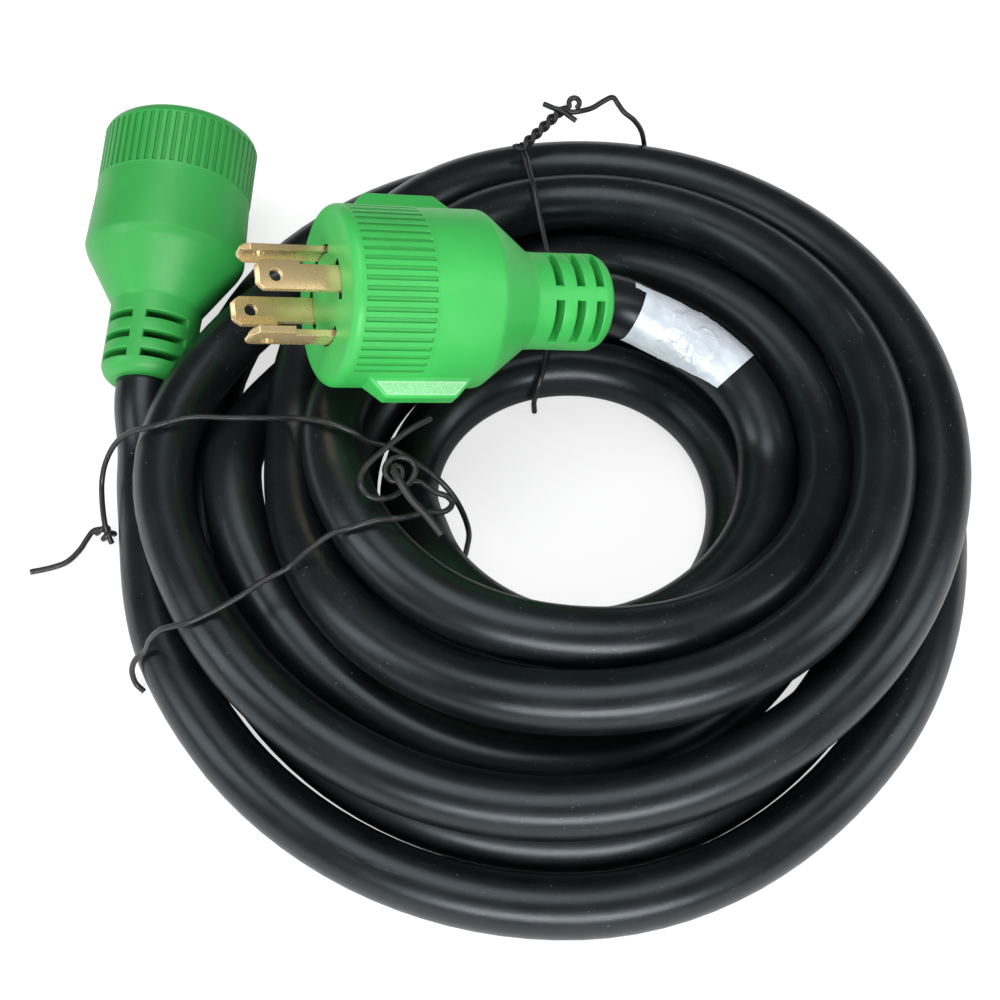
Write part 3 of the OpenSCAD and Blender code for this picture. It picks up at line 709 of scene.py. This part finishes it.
def filled(outline, spacing):
    """An outline with its long steps divided"""
    made = [outline[0]]
    for before, after in zip(outline, outline[1:]):
        count = max(1, math.ceil(np.linalg.norm(after - before) / spacing))
        made += [before + (after - before) * k / count for k in range(1, count + 1)]
    return made


def cut_rows(outline, stops):
    """An outline with rows added at the given distances back, where it has none yet"""
    at, radius = np.array(outline).T
    added = [np.array((stop, np.interp(stop, at, radius))) for stop in stops
             if np.abs(at - stop).min() > 0.02]
    return sorted(outline + added, key=lambda row: row[0])


def body_rows(head):
    """Rows of a cover's outside from its grip to its rear end, as [distance back, radius]"""
    sizes = bpy.context.scene.head_sizes
    relief_r, slot, edge = sizes.relief / MM / 2, sizes.slot / MM, sizes.edge / MM
    grip_end, behind = head.lip + head.grip + GRIP_OVER, head.radius - sizes.step / MM
    rear_r, relief = head.radius + head.flare, head.relief_at
    body = rounded([
        [grip_end, head.radius], [grip_end + 0.1, behind], [grip_end + 1.5, behind],
        [head.rear - (1 if head.flare else 0), rear_r], [head.rear + 1.5, rear_r - 1],
        [relief - 1, relief_r + 0.2], [relief + 3, relief_r], [head.length - 4, relief_r + 0.2],
        [head.length - 1.5, relief_r - 1], [head.length, relief_r - 3], [head.length, BORE]])
    stops = [relief + row + side * (slot / 2 + past) for row in RELIEF_ROWS for side in (-1, 1)
             for past in (0, edge / 2, edge)]
    return [row for row in cut_rows(filled(body, 4.0), stops)
            if not head.in_slot(row[0], slot - 2e-6)]


def hollow_rows(head, block_at):
    """Rows of a cover's inside, from the room for its block to its rear end"""
    slot = bpy.context.scene.head_sizes.slot / MM
    ends = [[head.relief_at + row + side * slot / 2, BORE] for row in RELIEF_ROWS
            for side in (-1, 1)]
    return [[block_at, BLOCK_R], [head.relief_at - 19, BLOCK_R], [head.relief_at + 1, BORE],
            *ends, [head.length - 0.4, BORE]]


class Skin:
    """A mesh of rings round an axis, in millimetres, with an amount of painted shade for each face
    """

    def __init__(self, columns):
        self.columns, self.points, self.faces, self.shades = columns, [], [], []
        self.turns = np.radians(np.arange(columns) * 360 / columns)
        self.after = np.roll(np.arange(columns), -1)

    def ring(self, at, radii):
        """Adds a ring so far back from the face: the number of its first point"""
        self.points += zip(radii * np.cos(self.turns), radii * np.sin(self.turns),
                           np.broadcast_to(-at, self.columns))
        return len(self.points) - self.columns

    def add(self, faces, shade):
        self.faces += faces
        self.shades += [shade] * len(faces)

    def fan(self, at, ring):
        """Closes a ring round a point of the axis"""
        self.points.append((0, 0, -at))
        tip = len(self.points) - 1
        self.add([(tip, ring + k, ring + n) for k, n in enumerate(self.after)], 0.0)

    def band(self, a, b, shade, cut=None):
        """Joins two rings, but for the columns that are cut out"""
        self.add([(a + k, b + k, b + n, a + n) for k, n in enumerate(self.after)
                  if cut is None or not cut[k]], shade)

    def walls(self, outer, inner, cut, shade):
        """Lines a cut between two rings outside and the two inside"""
        (a, b), (c, d) = outer, inner
        faces = []
        for k in np.flatnonzero(cut):
            n = self.after[k]
            faces += [(a + k, c + k, c + n, a + n), (b + k, b + n, d + n, d + k)]
            if not cut[k - 1]:
                faces.append((a + k, b + k, d + k, c + k))
            if not cut[n]:
                faces.append((a + n, c + n, d + n, b + n))
        self.add(faces, shade)

    def mesh(self):
        mesh = bpy.data.meshes.new("cover")
        mesh.from_pydata((np.array(self.points, float) * MM).tolist(), [], self.faces)
        mesh.update()
        stored(mesh, "deep", "FLOAT", "FACE", self.shades)
        return mesh


def cover_mesh(head, face, inner, slits=None):
    """A cover as two skins, outside and inside, with the relief's slots and the face's slits cut
    through both. The band between the lip and the grip's end stays open for the ribbed grip.
    slits is (inner radius, outer radius, half their turn in degrees)."""
    sizes = bpy.context.scene.head_sizes
    slot, edge = sizes.slot / MM, sizes.edge / MM
    skin = Skin(sizes.ribs * PER_RIB)
    degrees = np.degrees(skin.turns)
    near_web = np.abs((degrees + head.relief_turn + 90) % 180 - 90)
    web, far = RELIEF_ENDS
    past = np.maximum(0, np.maximum(web - near_web, near_web - far))
    in_slot = (near_web > web) & (near_web < far)
    in_slit = np.abs((degrees + 45) % 90 - 45) < (slits[2] if slits else 0)

    def sunk(at, radius):
        """How far the outside sinks beside a slot"""
        gap = min(max(0.0, abs(at - head.relief_at - row) - slot / 2) for row in RELIEF_ROWS)
        away = np.hypot(gap, np.radians(past) * radius)
        return edge * 0.7 * np.maximum(0, 1 - away / edge) ** 2

    def cut_between(a, b):
        """The columns cut out between two rows, with the shade of the cut's walls"""
        if head.in_slot((a[0] + b[0]) / 2, slot):
            return in_slot & np.roll(in_slot, -1), 0.0
        if slits and a[0] == b[0] < head.lip and slits[0] < (a[1] + b[1]) / 2 < slits[1]:
            return in_slit & np.roll(in_slit, -1), 1.0
        return None, None

    def shell(rows, shade, sink):
        """Rings through rows, joined but at the cuts: (the last ring, what lies at each cut)"""
        tip = rows[0][0] if rows[0][1] == 0 else None
        rows = rows if tip is None else rows[1:]
        rings = [None if row is None else skin.ring(row[0], row[1] - sink(*row)) for row in rows]
        cuts = []
        for pair, ends in zip(zip(rings, rings[1:]), zip(rows, rows[1:])):
            if None not in pair:
                cut, wall_shade = cut_between(*ends)
                skin.band(*pair, shade, cut)
                cuts += [] if cut is None else [(pair, cut, wall_shade)]
        if tip is not None:
            skin.fan(tip, rings[0])
        return rings[-1], cuts

    grip_at = head.lip - GRIP_OVER
    front = [row for row in face if row[0] < grip_at] + [[grip_at, head.radius]]
    outer_end, outer_cuts = shell([*front, None, *body_rows(head)], 0.0, sunk)
    # the inside, and the band that joins it to the outside at the rear, take full painted shade
    inner_end, inner_cuts = shell(inner, 1.0, lambda at, radius: 0.0)
    skin.band(outer_end, inner_end, 1.0)
    for (outer, cut, shade), (inner_pair, _, _) in zip(outer_cuts, inner_cuts, strict=True):
        skin.walls(outer, inner_pair, cut, shade)
    return skin.mesh()


def green(head):
    name = "moulded_green_" + head.name
    return once(bpy.data.materials, name, moulded_green, name, head.light)


def with_ribs(head, mesh):
    """A cover with its ribbed grip"""
    sizes = bpy.context.scene.head_sizes
    group = once(bpy.data.node_groups, "ribbed_grip", ribbed_group)
    return shaped(
        linked("cover", mesh), group, Radius=head.radius * MM, From=(head.lip - GRIP_OVER) * MM,
        Length=(head.grip + 2 * GRIP_OVER) * MM, Groove_Length=(head.grip + 0.6) * MM,
        Ribs=sizes.ribs, Groove_Width=sizes.groove, Groove_Depth=sizes.groove_depth,
        Clear=float(head.clear), Per_Rib=PER_RIB, Rows=GRIP_ROWS, Material=green(head))


def set_in_place(mesh, head):
    """Turns a mesh into the row's frame, its normals outward and its sharp edges kept"""
    work = bmesh.new()
    work.from_mesh(mesh)
    bmesh.ops.recalc_face_normals(work, faces=work.faces)
    work.to_mesh(mesh)
    work.free()
    mesh.transform(head.place())
    mesh.shade_smooth()
    mesh.set_sharp_from_angle(angle=math.radians(32))
    return mesh


def nose(radius, lip):
    """Rows of a quarter round from the face to the side"""
    turns = np.radians(np.linspace(90, 0, 7))
    return [[lip * (1 - math.sin(a)), radius - lip * (1 - math.cos(a))] for a in turns]


def wing_mesh(side):
    """A finger wing: a low ridge with sloped ends and sides, its edges rounded, and the measures
    of its frosted flank"""
    start, foot, crest, rise = 9.0, 33.0, 22.0, 5.4
    middle = start + foot / 2
    corners = [(x, PLUG.radius + height, -z)
               for height, half, run in ((-2.5, 4.5, foot), (-0.2, 4.3, foot), (rise, 2.5, crest))
               for z in (middle - run / 2, middle + run / 2) for x in (-half, half)]
    work = bmesh.new()
    made = [work.verts.new(Vector(corner) * MM) for corner in corners]
    sides = [(low + a, low + b, low + 4 + b, low + 4 + a) for low in (0, 4)
             for a, b in ((0, 1), (1, 3), (3, 2), (2, 0))]
    for face in (*sides, (0, 2, 3, 1), (8, 9, 11, 10)):
        work.faces.new([made[k] for k in face])
    work.normal_update()
    shown = (PLUG.radius - 1) * MM
    edges = [edge for edge in work.edges if min(v.co.y for v in edge.verts) > shown]
    bmesh.ops.bevel(work, geom=edges, offset=0.0009, segments=4, profile=0.6, affect="EDGES")
    bmesh.ops.recalc_face_normals(work, faces=work.faces)
    bmesh.ops.rotate(work, verts=work.verts, matrix=Matrix.Rotation(math.radians(side), 3, "Z"))
    mesh = bpy.data.meshes.new("wing")
    work.to_mesh(mesh)
    work.free()
    turn = Matrix.Rotation(math.radians(-side), 3, "Z")
    measures = []
    for face in mesh.polygons:
        frosted = (turn @ face.normal).x < -0.8 and face.area > 2e-5
        for spot in (turn @ mesh.vertices[index].co / MM for index in face.vertices):
            measures.append((spot.z + middle, spot.y - PLUG.radius, float(frosted)))
    stored(mesh, "panel", "FLOAT_VECTOR", "CORNER", measures)
    mesh.materials.append(green(PLUG))
    return mesh


class CORD_OT_plug_cover(bpy.types.Operator):
    """Moulds the plug's green cover with its face slits, ribs, wings and slotted relief"""

    bl_idname = "cord.plug_cover"
    bl_label = "Plug cover"

    def execute(self, context):
        slit_in, slit_out, slit_turn, beside, skin = 12.3, 14.9, 26.2, 0.3, 3.0
        face = [[0, r] for r in (0, 6, slit_in - beside, slit_in, slit_out, slit_out + beside, 19)]
        inner = [[skin, r] for r in (0, 6, slit_in, slit_out)] + hollow_rows(PLUG, skin)
        mesh = cover_mesh(PLUG, face + nose(PLUG.radius, 2.8), inner,
                          (slit_in, slit_out, slit_turn))
        whole = joined("plug_cover", [with_ribs(PLUG, mesh), wing_mesh(0), wing_mesh(180)])
        finished("plug_cover", set_in_place(whole, PLUG), "cover_plug", "plug_body")
        return {"FINISHED"}


class CORD_OT_connector_cover(bpy.types.Operator):
    """Moulds the connector's green cover with its ribs and slotted relief"""

    bl_idname = "cord.connector_cover"
    bl_label = "Connector cover"

    def execute(self, context):
        face = [[0, BLOCK_R]] + nose(CONNECTOR.radius, CONNECTOR.lip)
        mesh = with_ribs(CONNECTOR, cover_mesh(CONNECTOR, face, hollow_rows(CONNECTOR, 0.2)))
        finished("connector_cover", set_in_place(mesh, CONNECTOR), "cover_connector",
                 "connector_body")
        return {"FINISHED"}


# ---- insides, label and ties


class CORD_OT_inner_parts(bpy.types.Operator):
    """Gives the blades, contacts, blocks, wires and copper ends their finishes"""

    bl_idname = "cord.inner_parts"
    bl_label = "Blades and insides"

    def execute(self, context):
        brass = tuple(context.scene.cord_colours.brass)
        for part, material in (("blade_", metal("blade_metal", brass, 0.24, 0.72)),
                               ("contact_", metal("contact_metal", (0.66, 0.46, 0.20), 0.32))):
            for pole in ("ground", "line_x", "neutral", "line_y"):
                dress(part + pole, material)
        skins = {"core": plain_plastic("block_moulding", (0.020, 0.021, 0.022), 0.5),
                 "copper_ends": metal("copper_strands", (0.78, 0.36, 0.20), 0.34)}
        for name, shade in (("green", (0.02, 0.27, 0.05)), ("black", (0.012, 0.012, 0.013)),
                            ("white", (0.78, 0.78, 0.75)), ("red", (0.45, 0.012, 0.012))):
            skins["wire_" + name] = plain_plastic("insulation_" + name, shade, 0.38)
        for part, material in skins.items():
            dress("plug_" + part, material)
            dress("connector_" + part, material)
        return {"FINISHED"}


# Distances along the line in millimetres, and turns round the jacket in degrees
LABEL_RUN = (34.6, 72.2)
LABEL_TAB = (31.0, 99.0)
LABEL_LOW, LABEL_HIGH = (-34, 26), (114, 160)
LABEL_GAP = 0.0001
TAB_ROWS, RUN_ROWS, LABEL_COLUMNS = 8, 88, 56


def crumpled(along):
    """How much the film is crumpled at a distance along the label, 0 to 1"""
    return math.exp(-((along - 54) / 10) ** 4)


def crumple(along, across):
    """Height of the film over the jacket, in millimetres: flat facets between sharp creases"""
    spot = Vector((along / 5.8, across / 5.0, 4.3))
    gaps, seeds = noise.voronoi(spot)
    seed = seeds[0]
    lean = (spot - seed).dot(Vector((math.sin(9 * seed.x), math.cos(7 * seed.y), 0)))
    crease = max(0.0, 1 - (gaps[1] - gaps[0]) / 0.12)
    busy = crumpled(along)
    return 0.05 + (0.10 + 0.30 * busy) * (0.5 + 0.9 * lean) + (0.02 + 0.17 * busy) * crease


def sheet_mesh(top, under, kept, lay):
    """A thin closed sheet: its upper and lower grids where kept, joined round the rim"""
    rows, columns = kept.shape
    wide = columns + 1
    below = (rows + 1) * wide
    sides = (((-1, 0), 0, 1), ((0, 1), 1, 2), ((1, 0), 2, 3), ((0, -1), 3, 0))
    faces = []
    for i, j in zip(*np.nonzero(kept)):
        a = i * wide + j
        corners = (a, a + 1, a + wide + 1, a + wide)
        faces += [corners, tuple(c + below for c in reversed(corners))]
        for (down, right), p, q in sides:
            n, m = i + down, j + right
            if not (0 <= n < rows and 0 <= m < columns and kept[n, m]):
                faces.append((corners[q], corners[p], corners[p] + below, corners[q] + below))
    used, places = np.unique(np.array(faces).ravel(), return_inverse=True)
    points, lay = (np.vstack([part.reshape(-1, 3) for part in pair])[used]
                   for pair in ((top, under), (lay, lay)))
    mesh = bpy.data.meshes.new("label")
    mesh.from_pydata(points.tolist(), [], places.reshape(-1, 4).tolist())
    stored(mesh, "sheet", "FLOAT_VECTOR", "POINT", lay)
    stored(mesh, "busy", "FLOAT", "POINT", [crumpled(along / MM) for along in lay[:, 0]])
    mesh.shade_smooth()
    mesh.set_sharp_from_angle(angle=math.radians(50))
    return mesh


class CORD_OT_label(bpy.types.Operator):
    """Lays the wrap label's blank creased film over the jacket beside the plug"""

    bl_idname = "cord.label"
    bl_label = "Wrap label"

    def execute(self, context):
        sizes = context.scene.cord_sizes
        line = cable_line()
        run = np.r_[0, np.cumsum(np.linalg.norm(np.diff(line, axis=0), axis=1))] / MM
        along = np.r_[np.linspace(LABEL_TAB[0], LABEL_RUN[0], TAB_ROWS)[:-1],
                      np.linspace(*LABEL_RUN, RUN_ROWS)]
        middle = np.stack([np.interp(along, run, column) for column in line.T], axis=1)
        ahead = np.gradient(middle, axis=0)
        aside = np.cross(ahead, (0, 0, 1))
        aside /= np.linalg.norm(aside, axis=1)[:, None]
        up = np.cross(aside, ahead / np.linalg.norm(ahead, axis=1)[:, None])
        part = np.linspace(0, 1, LABEL_COLUMNS)
        low, high = (np.interp(along, LABEL_RUN, ends) for ends in (LABEL_LOW, LABEL_HIGH))
        turn = np.radians(low[:, None] + (high - low)[:, None] * part[None])
        across = sizes.jacket / MM / 2 * turn
        height = np.array([[crumple(s, v) for v in row] for s, row in zip(along, across)])
        out = np.cos(turn)[..., None] * aside[:, None] + np.sin(turn)[..., None] * up[:, None]
        reach = sizes.jacket / 2 + LABEL_GAP + height[..., None] * MM
        top = middle[:, None] + (reach + sizes.label_film) * out
        under = middle[:, None] + reach * out
        kept = np.ones((len(along) - 1, len(part) - 1), bool)
        on_tab = along[:-1] < LABEL_RUN[0] - 0.01
        kept[on_tab] = turn[:-1, :-1][on_tab] > math.radians(LABEL_TAB[1])
        lay = np.stack(np.broadcast_arrays(along[:, None] * MM, across * MM, 0.0), axis=-1)
        mesh = sheet_mesh(top, under, kept, lay)
        mesh.materials.append(label_film())
        finished("label", mesh, "label", "cord_label")
        return {"FINISHED"}


TIE_STEP, TIE_SIDES, FLAT_WIDER = 0.6, 12, 1.35
# Points of the tie wires, in millimetres from the coil's middle on the floor
TIE_UPPER = (
    (-146.6, -15.9, 1.2), (-147.8, -13.8, 4), (-148.6, -10.5, 7), (-149.2, -5.6, 10),
    (-149.3, -0.3, 13), (-147.6, 3.3, 18.5), (-143.6, 5.6, 26), (-138, 5.6, 33),
    (-129.4, 4, 39.3), (-118, 7, 39.8), (-105.8, 6.5, 40.3), (-98.8, 6.3, 40.6),
    (-90.5, 5, 42.6), (-82.5, -1, 51.6), (-76.4, -4.8, 56.3), (-71.9, -6.4, 56.9),
    (-67, -7.8, 55.3), (-62.5, -8.2, 50.5), (-57.6, -7.3, 46.5), (-52, -8.5, 43.2),
    (-46.5, -11.5, 41), (-41, -15, 38.5), (-36.8, -18.2, 34), (-34, -21, 28),
    (-32.6, -22.6, 20), (-33.3, -22.8, 11), (-34.6, -22.4, 1.2))
TIE_TAIL = (
    (-147.2, -14.5, 2.2), (-149, -12.2, 3.2), (-152.4, -12.4, 3), (-154.5, -15.1, 2.2),
    (-156.4, -18.5, 1.6), (-160.1, -22.7, 1.3), (-165.3, -24.8, 1.1), (-171.4, -26.2, 1))
TIE_LOWER = (
    (-131.5, -67.5, 1.2), (-134, -65.5, 3), (-134.5, -63.5, 8), (-132.7, -62.3, 13),
    (-129, -61.8, 18), (-126.5, -61.5, 25), (-122, -61.5, 32), (-113.5, -62, 37.5),
    (-105.2, -58.8, 39.5), (-98.5, -55.3, 41), (-92, -50.9, 42), (-84.8, -47, 43),
    (-78.5, -44.5, 49), (-71.5, -41.8, 54), (-65.2, -41.2, 57), (-58.3, -39.2, 57.6),
    (-51.8, -37.4, 55.5), (-47.6, -35, 53.2), (-43.4, -33.4, 52), (-39.9, -32.6, 50.5),
    (-37.6, -30.6, 49.5), (-37.1, -28.3, 49.3), (-38.8, -26.7, 49.8), (-41.5, -26, 50.4),
    (-44.1, -24.7, 51), (-46.8, -22.8, 51.3), (-49.4, -23, 51.6), (-51.7, -26, 52.6),
    (-54.1, -29.2, 54), (-57.5, -31, 55.5), (-60.9, -30.9, 57), (-63.2, -28.1, 58),
    (-63.4, -24.4, 58), (-61.5, -20.7, 58), (-58.1, -16.6, 57.5), (-53.9, -11.6, 56.5),
    (-49.1, -6.8, 55.5), (-43.5, -2.9, 55))
TIE_RING = (
    (-50.1, -26.4, 55.5), (-48.4, -24, 56), (-47.8, -21.2, 56.5), (-49.3, -18.8, 57),
    (-52.3, -18.1, 57.5), (-55.1, -19.4, 58), (-56.5, -22.4, 58), (-55.4, -25.4, 57.6),
    (-53, -25.9, 57), (-51.6, -24, 57), (-52, -21.8, 57.6), (-53.8, -21.6, 58.4),
    (-54, -23.6, 58.9))
TIE_FLAT = ((-54, -23.4, 59), (-51.9, -27.4, 59), (-48.4, -32.8, 58), (-43.7, -37.9, 57),
            (-39.6, -43.2, 56))
BACK_LEG = (
    (-11.6, 33.8, 1.2), (-11.8, 33.8, 7), (-10.8, 34.8, 13.6), (-8.9, 39.6, 17.7),
    (-7.7, 46, 19.5), (-7, 53, 23.2), (-6.7, 60, 27.2), (-6.4, 67.5, 31.2), (-8.1, 76, 36.8),
    (-10.1, 84, 41.3), (-12, 93.5, 44.5), (-13.6, 103, 42.5), (-14.7, 109.8, 41),
    (-16.9, 112.4, 42.3), (-18.2, 111.4, 43.2), (-17.2, 110.2, 43.6))
BACK_TWIST = ((-15.4, 111.6, 43.2), (-2.3, 123.2, 48.3))
BACK_ARCH = (
    (1, 121.9, 48.5), (3.7, 122.3, 48.5), (7.7, 124.1, 48), (11.8, 127.2, 48), (14.9, 129.2, 47.5),
    (16.6, 127.2, 46.5), (18.6, 125, 45), (22.1, 124.1, 42), (24.8, 123.9, 37), (26.3, 124.2, 30),
    (26.9, 126, 24), (26.9, 129.5, 19), (26.5, 133, 12), (25.5, 132.8, 1.2))
BACK_RING = (1.7, 124.3, 50.2)
BACK_STUB = ((-8.3, 124.5, 49.5), (-5.3, 122.4, 50), (-2.3, 121.4, 49.6), (0.3, 120, 48.4),
             (2.3, 119.1, 47.4))


def wound(start, stop, radius, turns, phase=0.0):
    """Points that wind round the line from start to stop"""
    start, stop = np.array(start, float), np.array(stop, float)
    axis = (stop - start) / np.linalg.norm(stop - start)
    aside = np.cross(axis, (0, 0, 1))
    aside /= np.linalg.norm(aside)
    up = np.cross(aside, axis)
    t = np.linspace(0, 1, round(turns * 12) + 1)[:, None]
    angle = phase + 2 * math.pi * turns * t
    return start + (stop - start) * t + radius * (np.cos(angle) * aside + np.sin(angle) * up)


def looped(centre, radius, first, last):
    """Points of an open ring that faces the camera's side"""
    angle = np.radians(np.linspace(first, last, 16))
    across, up = np.array((1, 0, 0)), np.array((0, 0.87, 0.5))
    return (np.array(centre) + radius * (np.cos(angle)[:, None] * across
                                         + np.sin(angle)[:, None] * up))


def tie_wires(name, replaced, wires):
    """One tie of several swept wires; each is (points, flatness)"""
    width = bpy.context.scene.cord_sizes.tie
    coat = once(bpy.data.materials, "tie_coating", tie_coating)
    meshes = []
    for points, flatness in wires:
        line = (even(np.asarray(points, float), TIE_STEP) + COIL_MID) * MM
        wide = width * (1 if flatness == 1 else FLAT_WIDER)
        meshes.append(sweep(line, wide, TIE_SIDES, coat, flatness))
    finished(name, joined(name, meshes), "tie_wire", replaced)


class CORD_OT_ties(bpy.types.Operator):
    """Bends the coated wires that tie the coil, with their twist, curls and free ends"""

    bl_idname = "cord.ties"
    bl_label = "Wire ties"

    def execute(self, context):
        knot = wound((-146.8, -14.9, 2.8), (-150.6, -11.7, 3.6), 1.75, 1.75)
        tie_wires("tie_upper", "tie_left_upper", [(TIE_UPPER, 1), (TIE_TAIL, 1), (knot, 1)])
        tie_wires("tie_lower", "tie_left_lower", [(TIE_LOWER, 1), (TIE_RING, 1), (TIE_FLAT, 0.4)])
        first = wound(*BACK_TWIST, 0.95, 2.6)
        second = wound(*BACK_TWIST, 0.95, 2.6, math.pi)
        ring = looped(BACK_RING, 1.75, 215, -75)
        tie_wires("tie_back_wire", "tie_back", [
            (np.vstack([BACK_LEG, first, ring]), 1), (np.vstack([second, BACK_ARCH]), 1),
            (BACK_STUB, 1)])
        return {"FINISHED"}


# Each lamp's name, place, aim, width, height and power
LAMPS = (
    ("front_box", (0.05, -1.30, 0.66), (0, 0, 0.03), 1.3, 0.38, 20.0),
    ("top_box", (-0.10, 0.15, 1.6), (0, 0, 0.0), 1.0, 0.9, 9.0),
    ("left_box", (-1.3, -0.3, 0.85), (0, 0, 0.03), 0.4, 1.0, 6.0),
    ("right_box", (1.3, -0.2, 0.75), (0, 0, 0.03), 0.35, 1.0, 5.0),
)
FLOOR_REACH, FLOOR_DROP = 3.0, 0.0001
EYE, EYE_TILT = (0.0005, -0.3025, 0.534615), 30


def lay_floor(shade):
    """A white floor that glows to the camera, a little more as it runs away"""
    r = FLOOR_REACH
    mesh = bpy.data.meshes.new("floor")
    mesh.from_pydata([(x, y, -FLOOR_DROP) for x, y in ((-r, -r), (r, -r), (r, r), (-r, r))], [],
                     [(0, 1, 2, 3)])
    f = Finish("floor_white")
    seen = f.add("ShaderNodeLightPath", out="Is Camera Ray")
    x, y, _ = f.split(f.place())
    glow = seen * (0.68 + 0.32 * f.ranged((x * x + y * y).root(), 0.35, 1.2))
    mesh.materials.append(f.done(
        Base_Color=f.blend(seen, shade, tinted(shade, 0.5)), Roughness=0.9,
        Emission_Color=f.vector(glow, glow, glow), Emission_Strength=1.0, Specular_IOR_Level=0.0))
    linked("floor", mesh)


def light_world():
    """A white surround, dimmer in what it lights and dimmest in reflections"""
    world = bpy.data.worlds.new("studio")
    world.use_nodes = True
    bpy.context.scene.world = world
    sky = Tree(world.node_tree)
    seen, glossy = (sky.add("ShaderNodeLightPath", out=f"Is {kind} Ray")
                    for kind in ("Camera", "Glossy"))
    level = 0.42 - 0.33 * glossy + 0.91 * seen
    sky.put(world.node_tree.nodes["Background"].inputs["Color"], sky.vector(level, level, level))


class CORD_OT_stage(bpy.types.Operator):
    """Sets the floor, the lamps, the world and the camera"""

    bl_idname = "cord.stage"
    bl_label = "Stage"

    def execute(self, context):
        stage = context.scene.stage_settings
        lay_floor(tuple(stage.floor))
        light_world()
        for name, place, aim, wide, high, watts in LAMPS:
            lamp = bpy.data.lights.new(name, "AREA")
            lamp.shape, lamp.size, lamp.size_y, lamp.energy = "RECTANGLE", wide, high, watts
            holder = linked(name, lamp)
            holder.location = place
            look = Vector(aim) - Vector(place)
            holder.rotation_euler = look.to_track_quat("-Z", "Y").to_euler()
        eye = bpy.data.cameras.new("camera")
        eye.lens, eye.sensor_width = stage.lens, 36.0
        eye.clip_start, eye.clip_end = 0.01, 20.0
        camera = linked("camera", eye)
        camera.location = EYE
        camera.rotation_euler = (math.radians(EYE_TILT), 0, 0)
        context.scene.camera = camera
        context.scene.view_settings.view_transform = "Standard"
        return {"FINISHED"}


OPERATORS = (CORD_OT_cable, CORD_OT_plug_cover, CORD_OT_connector_cover, CORD_OT_inner_parts,
             CORD_OT_label, CORD_OT_ties, CORD_OT_stage)


class CORD_PT_panel(bpy.types.Panel):
    """Buttons for each piece of the cord"""

    bl_idname = "CORD_PT_panel"
    bl_label = "Shore power cord"
    bl_space_type = "VIEW_3D"
    bl_region_type = "UI"
    bl_category = "Power Cord"

    def draw(self, context):
        for group in (getattr(context.scene, name) for name in GROUPS):
            box = self.layout.box()
            for name in group.__annotations__:
                box.prop(group, name)
        for operator in OPERATORS:
            self.layout.operator(operator.bl_idname)


GROUPS = {"cord_sizes": CordSizes, "head_sizes": HeadSizes, "cord_colours": FinishColours,
          "stage_settings": StageSettings}
CLASSES = (*GROUPS.values(), *OPERATORS, CORD_PT_panel)


def register():
    for part in CLASSES:
        bpy.utils.register_class(part)
    for name, group in GROUPS.items():
        setattr(bpy.types.Scene, name, PointerProperty(type=group))


def unregister():
    for name in GROUPS:
        delattr(bpy.types.Scene, name)
    for part in reversed(CLASSES):
        bpy.utils.unregister_class(part)


def declare_cord():
    """Works out the free cable's centre line once its ends are in place, and keeps nothing of it
    """
    cable_line().tolist()


def main():
    register()
    for operator in OPERATORS:
        group, name = operator.bl_idname.split(".")
        getattr(getattr(bpy.ops, group), name)()
    declare_cord()


if __name__ == "__main__":
    main()
